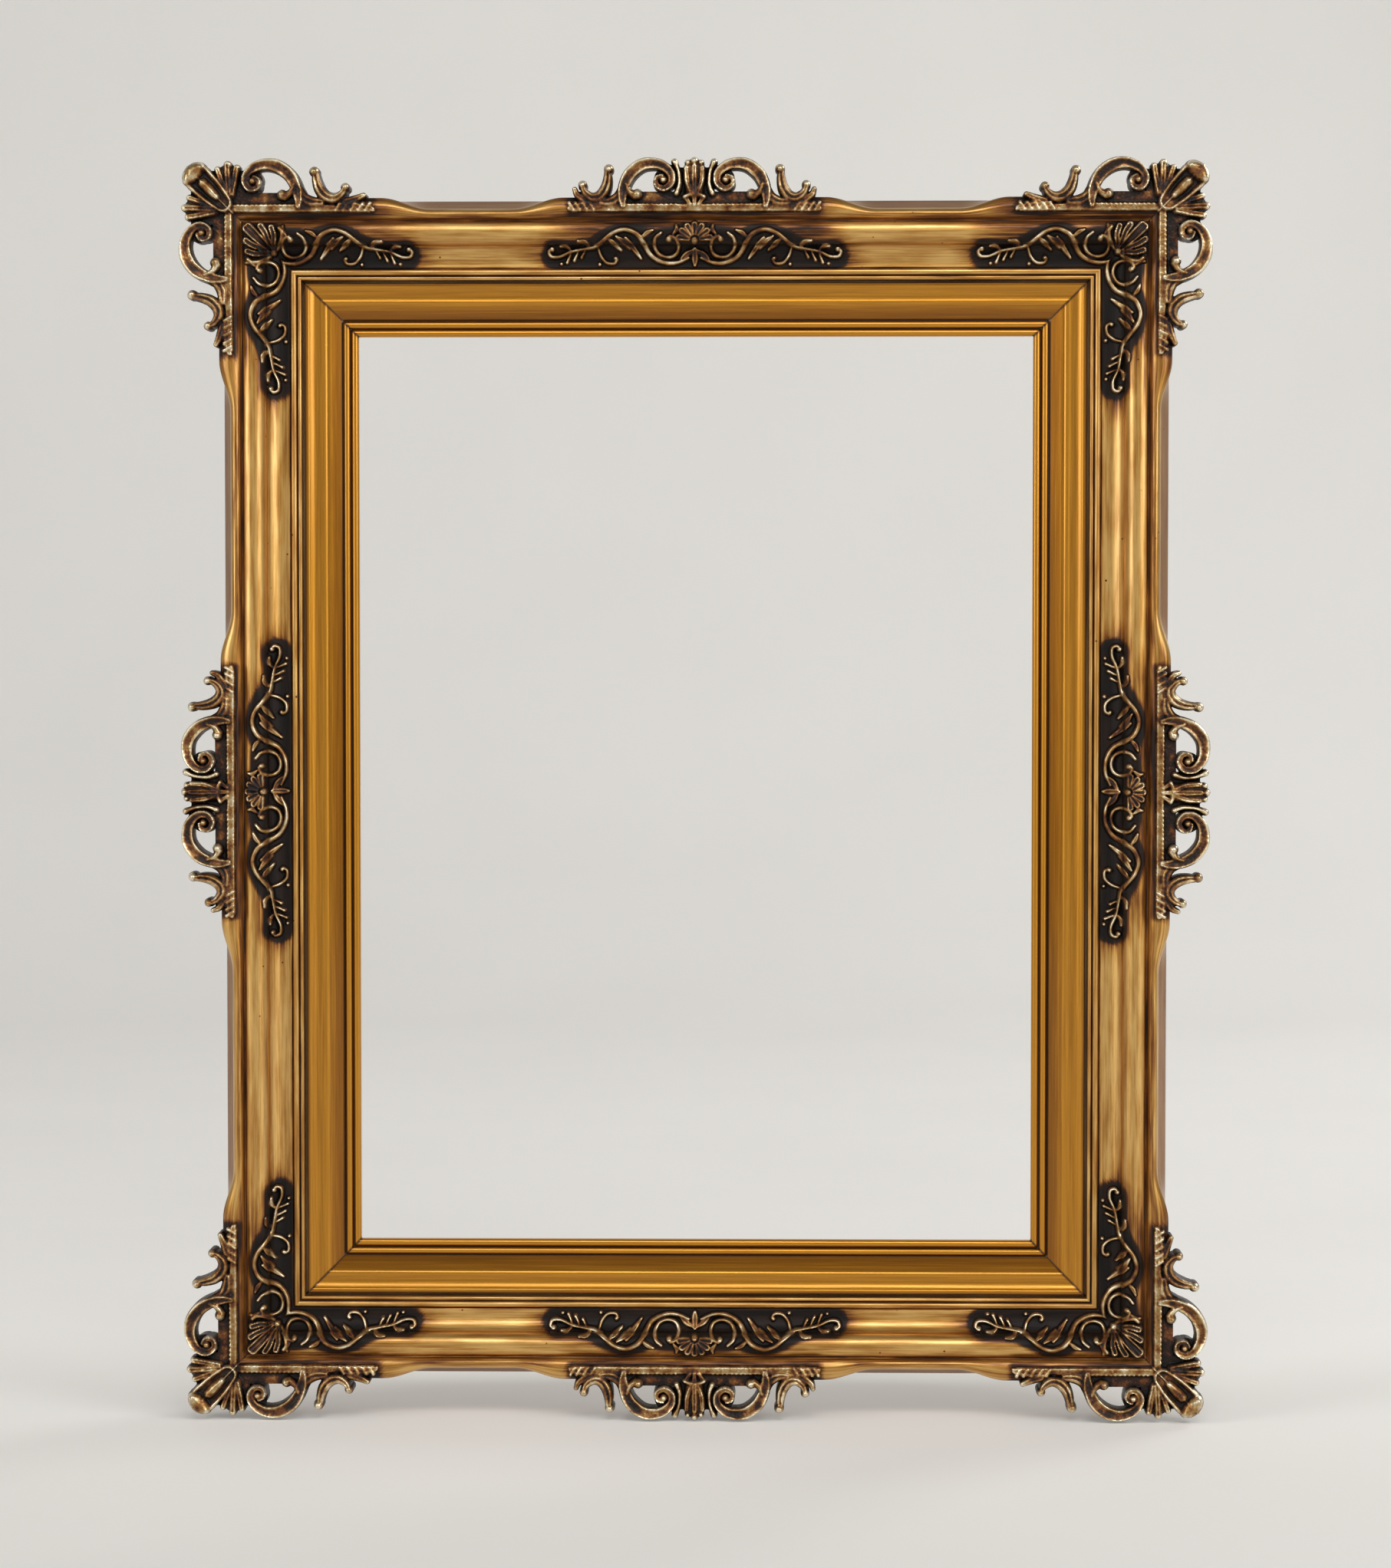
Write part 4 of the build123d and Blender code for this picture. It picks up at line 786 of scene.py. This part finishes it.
def bare_composition():
    """The back of a casting: pressed chalk, glue and resin, a dull brown with no gloss."""
    made, tree, surface = new_material("bare_composition")
    where = node(tree, "ShaderNodeTexCoord", out="Object")
    mottle = node(tree, "ShaderNodeTexNoise", {"Vector": where, "Scale": 1 / (5 * MM), "Detail": 4.0})
    colour = node(tree, "ShaderNodeValToRGB", {"Fac": mottle}, stops=[(0.3, "#4E3A2A"), (0.7, "#6E5540")])
    bump = node(tree, "ShaderNodeBump", {"Height": mottle, "Strength": 0.3, "Distance": 0.3 * MM})
    feed(tree, surface, {"Base Color": colour, "Roughness": 0.85, "Normal": bump})
    return made


COMPOSITION, BARE_COMPOSITION = gilded_composition(), bare_composition()


def castings(kind, mesh, places):
    """One casting for each place, all from the same mould."""
    mesh.materials.append(COMPOSITION)
    mesh.materials.append(BARE_COMPOSITION)
    for where, matrix in places.items():
        piece = place(mesh.copy(), f"{kind}_casting_{where}", matrix, CAST_ANGLE)
        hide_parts(f"{kind}_{where}")
        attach(piece, "frame")
    bpy.data.meshes.remove(mesh)


def ridge_wear_and_highlight(height, times, gain, base):
    """How much leaf and painted highlight shows: most on ridges that stand over what lies round them, least
    in hollows, where it is glaze and painted shade.
    """
    return base + gain * (height - soft(height, times)) + HEIGHT_GOLD * height


def crest_mesh(name, x, y, out, inside, height):
    """A crest: its carved front over a back that lies on the lip and thins towards the tips."""
    height = soft(height + PITS.normal(0, PIT_DEPTH, height.shape), times=1)
    on_band = 1 - smooth(BAND - 1, BAND + 0.5, out)
    gold = ridge_wear_and_highlight(height, times=14, gain=0.56, base=0.37) + BAND_GOLD * on_band
    back = CREST_BACK + TIPS_RISE * smooth(TIPS_FROM, TIPS_TO, out)
    return relief_mesh(name, x, y, inside, CREST_GROUND + height, back, gold)


MIDDLES = {side: matrix for side, (matrix, _) in MEMBERS.items()}
map_half = CENTRE_HALF + MAP_MARGIN
x, y = grid_over(-map_half, map_half, CREST_IN - MAP_MARGIN, CREST_IN + CENTRE_REACH)
inside, height = carve(np.abs(x), y - CREST_IN, centre_ground, CENTRE_STROKES)
castings("centre_crest", crest_mesh("centre_crest", x, y, y - CREST_IN, inside, height), MIDDLES)

low, high = CREST_IN - CORNER_ARM - MAP_MARGIN, CREST_IN + CORNER_REACH
x, y = grid_over(low, high, low, high)
arm_along, arm_out = CREST_IN - np.minimum(x, y), np.maximum(x, y) - CREST_IN
inside, height = carve(arm_along, arm_out, corner_ground, CORNER_STROKES)
castings("corner_crest", crest_mesh("corner_crest", x, y, arm_out, inside, height), CORNERS)

# Sprays
# Thin castings of a vine, bent over the hollow and the ovolo while still soft and glued down:
# a ring, an arching stem with leaves and a hook, a tendril and a row of berries on each side of a fleur.

# Length of an arm, then how far a stem's skirt spreads, how thick it is, and how far it and the back lie in
SPRAY_HALF, SPRAY_MARGIN = 64.0, 0.6
SKIRT, SKIRT_THICK, SKIRT_SUNK, SPRAY_SUNK = 0.7, 0.35, 0.3, 1.0
VINE = [
    # Arching stem with its curled tip
    (rod, 2.5, [
        (2.6, -5.2, 0.77), (8, -7.2, 1.03), (13.5, -6.9, 1.2), (18.6, -4.2, 1.29), (21.6, 0.4, 1.29),
        (24.6, 4.2, 1.25), (29.6, 6.1, 1.2), (34.4, 4.8, 1.16), (38.4, 1.8, 1.12), (42, -0.6, 1.03),
        (47, -1.6, 0.95), (52.7, -2.6, 0.86), (57.6, -4.6, 0.9), (61.2, -4.6, 0.95), (62.2, -2.6, 0.95),
        (60.7, -1.4, 0.95),
    ]),
    (rod, 2.9, [(60.9, -1.7, 1.29)]),
    # Ring and its bud, with a leaf on each side
    (rod, 2.4, [
        (14.2, 4.6, 0.77), (16.6, 2.4, 0.95), (17.0, -0.8, 1.03), (15.2, -3.8, 1.07), (11.6, -5.0, 1.07),
        (8.2, -3.8, 1.03), (6.9, -0.8, 0.99), (8.0, 2.2, 0.95), (10.4, 3.2, 0.86),
    ]),
    (rod, 3.0, [(10.9, 2.2, 1.38)]),
    (leaf, 2.2, [(9.0, 4.0, 0.7), (7.6, 6.0, 1.12), (7.8, 8.0, 0.6)]),
    (leaf, 2.2, [(22.4, 2.8, 0.7), (20.0, 4.8, 1.12), (17.6, 5.8, 0.6)]),
    # Hook and its bud, and a berry
    (rod, 2.1, [
        (41.2, -1.2, 0.77), (40, -4.6, 0.86), (37.6, -7.2, 0.9), (34.4, -7.4, 0.86), (33.2, -5.8, 0.86),
    ]),
    (rod, 2.5, [(33.8, -5.4, 1.12)]),
    (rod, 2.4, [(40.6, -7.8, 0.95)]),
    # Leaves under the arch
    (leaf, 2.2, [(36.6, 2.0, 0.7), (34.4, 0.4, 1.2), (31.4, -2.0, 0.7)]),
    (leaf, 2.2, [(33.4, 3.2, 0.6), (30.4, 1.2, 1.2), (27.8, -1.4, 0.6)]),
    (leaf, 2.2, [(29.4, 2.6, 0.7), (26.2, -1.2, 1.29), (23.0, -5.4, 0.7)]),
    # Leaves and berries along the end
    (leaf, 2.0, [(44.5, -1.2, 0.7), (46.6, 0.9, 1.03), (49.6, 1.3, 0.6)]),
    (leaf, 2.0, [(52.4, -2.4, 0.6), (54.8, -0.7, 0.95), (57.4, -0.6, 0.6)]),
    (rod, 2.0, [(46.8, -2.2, 0.6), (48.4, -5.0, 0.86)]),
    (rod, 2.0, [(49.8, -2.8, 0.6), (51.5, -6.2, 0.86)]),
    (rod, 2.0, [(53.0, -3.4, 0.6), (54.6, -7.2, 0.86)]),
    (rod, 2.2, [(57.0, -7.6, 0.86)]),
]


def shell(angles, foot, tip, centre):
    """Lobes that fan out from a centre, given their angles from the outward direction."""
    turns = [(math.sin(math.radians(angle)), math.cos(math.radians(angle))) for angle in angles]
    return [
        (petal, 2.6, [(s * foot, centre + c * foot, 0.7), (s * tip, centre + c * tip, 1.6)]) for s, c in turns
    ]


FLEUR = [
    (leaf, 2.6, [(0, -1.6, 1.0), (0, -5.2, 1.8), (0, -8.2, 0.8)]),
    (leaf, 2.4, [(0.8, -2.2, 0.9), (3.8, -4.0, 1.5), (6.6, -7.0, 0.8)]),
    (rod, 3.0, [(0, 1.6, 1.7)]),
] + shell((0, 27, 54, 81), 2.4, 6.6, 1.6)
FAN = [
    (petal, 3.0, [(1.6, -1.4, 0.9), (-2.6, 3.4, 1.7), (-6.8, 7.8, 1.8)]),
    (petal, 2.8, [(2.2, -0.4, 0.9), (0.6, 4.4, 1.5), (-1.6, 7.9, 1.6)]),
    (petal, 2.7, [(3.4, -0.6, 0.8), (4.0, 3.4, 1.4), (3.0, 7.2, 1.5)]),
    (rod, 2.6, [(4.6, -1.6, 0.9), (7.0, 1.6, 1.1), (7.6, 5.0, 1.1), (6.4, 7.0, 1.1)]),
    (rod, 3.4, [(2.8, -2.8, 1.8)]),
    (rod, 2.8, [(-3.4, 0.2, 0.9), (-0.4, -2.6, 1.1)]),
]

# The moulding's face that the sprays are bent over, as places across it and their heights
face = np.array([p for p in rail_outline() if p[1] > BEAD_FOOT - 0.1 and p[0] < LIP_OUT])
face = face[np.argsort(face[:, 0], kind="stable")]


def no_ground(along, out):
    """A spray has no ground of its own: the moulding shows between its stems."""
    return np.full(along.shape, -FAR)


def spray_mesh(name, x, y, along, out, strokes):
    """A spray: its stems stand on the moulding's face, and its underside is just below that face."""
    inside, height = carve(along, out - ARRIS, no_ground, strokes)
    bed = np.interp(out, face[:, 0], face[:, 1])
    skirt = np.clip(inside + SKIRT, -1, SKIRT_THICK) - SKIRT_SUNK
    height = soft(height, times=1)
    gold = ridge_wear_and_highlight(height, times=8, gain=0.8, base=0.31)
    return relief_mesh(name, x, y, inside + SKIRT, bed + height + skirt, bed - SPRAY_SUNK, gold)


x, y = grid_over(-SPRAY_HALF, SPRAY_HALF, HOLLOW_IN, OVOLO_OUT + SPRAY_MARGIN)
castings("centre_spray", spray_mesh("centre_spray", x, y, np.abs(x), y, VINE + FLEUR), MIDDLES)
low, high = ARRIS - SPRAY_HALF, OVOLO_OUT + SPRAY_MARGIN
x, y = grid_over(low, high, low, high)
arm_along, arm_out = ARRIS - np.minimum(x, y), np.maximum(x, y)
castings("corner_spray", spray_mesh("corner_spray", x, y, arm_along, arm_out, VINE + FAN), CORNERS)

# Toning
# The last coat on the moulding: a dark brown glaze, brushed on round the castings once they are glued down.
# It stays thick in the grounds and quirks, trails off past the sprays, and is wiped off the plain stretches.
# Part of this tone is painted shade: a shadow along each crest, and more on the ovolo of the top rail than on
# the other rails.

# The dark ground of a spray's arm: along, out from the arris, and half width. Amounts go from 0, clear leaf,
# to 1, nearly black, and each smooth() below is the soft edge of a brushed stretch.
GROUND = line_through([
    (0, 0.4, 9.4), (6, -1.0, 7.8), (14, -1.6, 7.4), (20, -2.2, 6.6), (25, -0.8, 7.8), (30, -0.4, 8.4),
    (36, -1.4, 7.2), (42, -3.4, 6.0), (50, -4.4, 5.2), (59.5, -4.2, 5.0),
])
GROUND_TONE, HALO_TONE = 0.92, 0.26
TRAIL_TONE, TRAIL_RUN, TRAIL_BACK = 0.9, 8.0, 5.0
CLEAR_TONE, LIP_TONE, CREST_SHADOW_AND_GLAZE = 0.1, 0.22, 0.7
# Glaze on the ovolo beside the sprays, wiped off along them. Its amount per rail is painted shade: most on
# the top rail, least on the bottom.
OVOLO_GLAZE_AND_SHADE = {"top": 0.5, "right": 0.36, "left": 0.25, "bottom": 0.22}
OVOLO_FROM, OVOLO_WIPED = 44, 76
QUIRK_TONE, QUIRKS = 0.6, ((BEAD_OUT + 0.3, 0.45), ((OVOLO_OUT + LIP_IN) / 2, 0.7))
BEAD_TONE, SPLIT_TONE, SPLIT_GLAZE = 0.14, 0.75, 0.4
SIDE_TONE, FOOT_TONE, SIDE_CALM = 0.3, 0.16, 0.8
for side, (_, span) in MEMBERS.items():
    mesh = rails[side].data
    along, out, height = np.abs(recall(mesh, "along")), recall(mesh, "out"), recall(mesh, "height")
    from_end = span / 2 - along
    past_arris = smooth(ARRIS - 2, ARRIS + 4, out)
    in_hollow = smooth(HOLLOW_IN, HOLLOW_IN + 1.5, out) * (1 - past_arris)
    on_lip = smooth(LIP_IN - 1.5, LIP_IN + 0.5, out) * (1 - smooth(SCOOP_LINE - 3, SCOOP_LINE - 1, out))
    tone = CLEAR_TONE + LIP_TONE * on_lip
    for arm in (along, from_end + ARRIS):
        inside, _ = reach(arm, out - ARRIS, GROUND)
        tone = np.maximum(tone, GROUND_TONE * smooth(-3.2, 0.4, inside))
        tone = np.maximum(tone, HALO_TONE * smooth(-8, -1, inside))
        trail = np.exp(-np.maximum(arm - SPRAY_HALF + TRAIL_BACK, 0) / TRAIL_RUN)
        tone = np.maximum(tone, TRAIL_TONE * trail * in_hollow)
        wiped = smooth(OVOLO_FROM, OVOLO_WIPED, arm)
        # Ovolo glaze, with painted shade that differs from rail to rail
        tone = np.maximum(tone, OVOLO_GLAZE_AND_SHADE[side] * (1 - wiped) * past_arris)
    # Painted shadow of each crest, with glaze: the lip darkens under the crest and in a band just inside its
    # inner edge.
    crest = np.maximum(CENTRE_HALF - along, CORNER_ARM - CREST_IN - from_end)
    under_crest = smooth(-3, 1, crest) * smooth(CREST_IN - 3, CREST_IN - 0.3, out)
    tone = np.maximum(tone, CREST_SHADOW_AND_GLAZE * under_crest)
    for quirk, width in QUIRKS:
        tone = np.maximum(tone, QUIRK_TONE * brushed_line(out - quirk, width))
    tone = np.maximum(tone, MITRE_TONE * brushed_line(span / 2 + out - along, MITRE_WIDTH))
    on_beads = 1 - smooth(BEAD_OUT - 0.4, BEAD_OUT + 0.2, out)
    split = SPLIT_TONE * brushed_line(out - BEAD_SPLIT - SPLIT_WIDTH / 2, SPLIT_GLAZE)
    tone = tone * (1 - on_beads) + np.maximum(BEAD_TONE, split) * on_beads
    on_side = (1 - smooth(LIP_EDGE - 7, LIP_EDGE - 2, height)) * smooth(LIP_IN, LIP_IN + 2, out)
    side_tone = SIDE_TONE + FOOT_TONE * (1 - smooth(0, SCOOP_H, height))
    store(mesh, "tone", tone + (side_tone - tone) * on_side)
    store(mesh, "rubbing", 1 - SIDE_CALM * on_side)

# Wedges
# V-shaped steel wedges, driven across the mitres of the moulding and of the slip to hold them closed.
# Their solids lie sunk in pockets, and here they stand level with the back, where they can be seen.

LEVEL = 0.55 * MM


def metal(name, dark, light, rough, grit_mm):
    """A plain metal, slightly uneven in colour and dulled by handling."""
    made, tree, surface = new_material(name)
    where = node(tree, "ShaderNodeTexCoord", out="Object")
    marks = node(tree, "ShaderNodeTexNoise", {"Vector": where, "Scale": 1 / (grit_mm * MM), "Detail": 4.0})
    colour = node(tree, "ShaderNodeValToRGB", {"Fac": marks}, stops=[(0.3, dark), (0.7, light)])
    bump = node(tree, "ShaderNodeBump", {"Height": marks, "Strength": 0.1, "Distance": 0.1 * MM})
    feed(tree, surface, {"Base Color": colour, "Metallic": 1.0, "Roughness": rough, "Normal": bump})
    return made


ZINC = metal("zinc_plated_steel", "#84868A", "#B9BBBE", rough=0.36, grit_mm=1.8)
for name, shown in (("mitre_wedges", "mitre_wedge_set"), ("slip_wedges", "slip_wedge_set")):
    mesh = nodes[name].data.copy()
    mesh.transform(Matrix.Translation((0, LEVEL, 0)) @ nodes[name].matrix_world)
    mesh.materials.clear()
    mesh.materials.append(ZINC)
    piece = bpy.data.objects.new(shown, mesh)
    bpy.context.scene.collection.objects.link(piece)
    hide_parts(name)
    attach(piece, "frame")

# Pins and screws
# Panel pins driven from the rebate hold the slip in the moulding, and countersunk screws hold the fittings.
# They are common zinc-plated steel, and keep the shape of their solids.


def finish_solids(material, names):
    """Gives pieces that keep the shape of their solids a metal finish."""
    for name in names:
        nodes[name].data.materials.clear()
        nodes[name].data.materials.append(material)


finish_solids(ZINC, ["slip_pins", "turn_button_screws", "hanger_screws"])

# Turn buttons
# Six buttons stamped from brass sheet, each turning on its own screw.
# Turned inward they hold a picture and its backing in the rebate, and at rest they lie clear of it.

BUTTON_COUNT = 6
BRASS = metal("stamped_brass", "#A37C3C", "#BF9850", rough=0.3, grit_mm=2.5)
finish_solids(BRASS, [f"turn_button_{number}" for number in range(1, BUTTON_COUNT + 1)])

# Hangers
# Straps with a rolled loop, screwed to the back of the side rails, and the D-rings of wire that turn in them.
# Both are zinc plated.

finish_solids(ZINC, [f"hanger_{part}_{side}" for part in ("strap", "ring") for side in ("left", "right")])

# Studio
# A sheet of pale paper that the frame stands on, swept up into a wall in front and behind,
# with four soft lamps, a weak even sky and the camera.

floor_z = cad_low.z - 0.5 * MM
LAMP_POOL, POOL_IN, POOL_OUT, LIFT = -1.1, 0.45, 1.3, 0.32
PATCHES_PER_METRE, BEND_STEPS = 6.0, 12


def pale_paper():
    """Matt studio paper with a faint unevenness, lifted a little where the lamps don't reach."""
    made, tree, surface = new_material("pale_paper")
    where = node(tree, "ShaderNodeTexCoord", out="Object")
    mottle = node(tree, "ShaderNodeTexNoise", {"Vector": where, "Scale": PATCHES_PER_METRE})
    shades = [(0.3, "#DEDCD8"), (0.7, "#E0DEDA")]
    colour = node(tree, "ShaderNodeValToRGB", {"Fac": mottle}, stops=shades)
    direct = node(tree, "ShaderNodeLightPath", out="Is Camera Ray")
    mirrored = node(tree, "ShaderNodeLightPath", out="Is Glossy Ray")
    through = node(tree, "ShaderNodeLightPath", out="Is Transmission Ray")
    seen = node(tree, "ShaderNodeMath", {0: direct, 1: mirrored}, operation="MAXIMUM")
    seen = node(tree, "ShaderNodeMath", {0: seen, 1: through}, operation="MAXIMUM")
    depth = node(tree, "ShaderNodeSeparateXYZ", {0: where}, out="Y")
    from_lamps = node(tree, "ShaderNodeMath", {0: depth, 1: LAMP_POOL}, operation="SUBTRACT")
    from_lamps = node(tree, "ShaderNodeMath", {0: from_lamps}, operation="ABSOLUTE")
    lift = node(tree, "ShaderNodeMapRange", {
        "Value": from_lamps, "From Min": POOL_IN, "From Max": POOL_OUT, "To Min": 0.0, "To Max": LIFT,
    })
    lift = node(tree, "ShaderNodeMath", {0: seen, 1: lift}, operation="MULTIPLY")
    feed(tree, surface, {"Base Color": colour, "Roughness": 0.8})
    feed(tree, surface, {"Emission Color": colour, "Emission Strength": lift})
    return made


def sweep_sheet(name, half_width, front_y, back_y, top, bend):
    """A sheet of paper on the floor that curves up into a wall in front and behind."""
    rise = [math.radians(90 * step / BEND_STEPS) for step in range(BEND_STEPS + 1)]
    curve = [(bend * math.sin(angle), floor_z + bend * (1 - math.cos(angle))) for angle in rise]
    profile = [(front_y, floor_z + top)]
    profile += [(front_y + bend - y, z) for y, z in reversed(curve)]
    profile += [(back_y - bend + y, z) for y, z in curve]
    profile += [(back_y, floor_z + top)]
    points = [(x, y, z) for y, z in profile for x in (-half_width, half_width)]
    faces = [(2 * i, 2 * i + 1, 2 * i + 3, 2 * i + 2) for i in range(len(profile) - 1)]
    mesh = bpy.data.meshes.new(name)
    mesh.from_pydata(points, [], faces)
    mesh.shade_smooth()
    mesh.materials.append(pale_paper())
    made = bpy.data.objects.new(name, mesh)
    bpy.context.scene.collection.objects.link(made)
    return made


sweep_sheet("paper_sweep", half_width=6.0, front_y=-5.0, back_y=2.5, top=4.0, bend=0.8)


def lamp(name, at, size, watts):
    """A soft box lamp aimed at the middle of the frame."""
    data = bpy.data.lights.new(name, "AREA")
    data.shape = "RECTANGLE"
    data.size, data.size_y = size
    data.energy = watts
    made = bpy.data.objects.new(name, data)
    made.location = at
    made.rotation_mode = "QUATERNION"
    made.rotation_quaternion = (Vector((0, 0, middle_z)) - Vector(at)).to_track_quat("-Z", "Y")
    bpy.context.scene.collection.objects.link(made)


lamp("softbox_right", at=(1.95, -1.56, 0.75), size=(1.56, 1.7), watts=30)
lamp("softbox_left", at=(-1.95, -1.27, 0.55), size=(1.15, 1.6), watts=19)
lamp("softbox_top", at=(0.2, -1.9, 1.4), size=(1.6, 0.8), watts=18)
lamp("softbox_back", at=(1.5, 1.5, 0.8), size=(0.9, 0.9), watts=12)

world = bpy.data.worlds.new("studio")
world.use_nodes = True
sky = world.node_tree
feed(sky, sky.nodes["Background"], {"Color": srgb("#F4F2EE"), "Strength": 0.25})
bpy.context.scene.world = world
bpy.context.scene.view_settings.view_transform = "Standard"

AZIMUTH, ELEVATION, DISTANCE = math.radians(1.2), math.radians(2.3), 1.8
SEEN_HEIGHT = 0.677
SENSOR = 36
AIM_FORWARD, AIM_ABOVE = 14 * MM, 2.6 * MM
camera = bpy.data.objects.new("camera", bpy.data.cameras.new("camera"))
away = Vector(
    (
        math.sin(AZIMUTH) * math.cos(ELEVATION),
        -math.cos(AZIMUTH) * math.cos(ELEVATION),
        math.sin(ELEVATION),
    )
)
aim = Vector((0, -AIM_FORWARD, middle_z + AIM_ABOVE))
camera.location = aim + away * DISTANCE
camera.rotation_mode = "QUATERNION"
camera.rotation_quaternion = (-away).to_track_quat("-Z", "Y")
camera.data.sensor_fit = "VERTICAL"
camera.data.sensor_height = SENSOR
camera.data.lens = SENSOR * DISTANCE / SEEN_HEIGHT
bpy.context.scene.collection.objects.link(camera)
bpy.context.scene.camera = camera
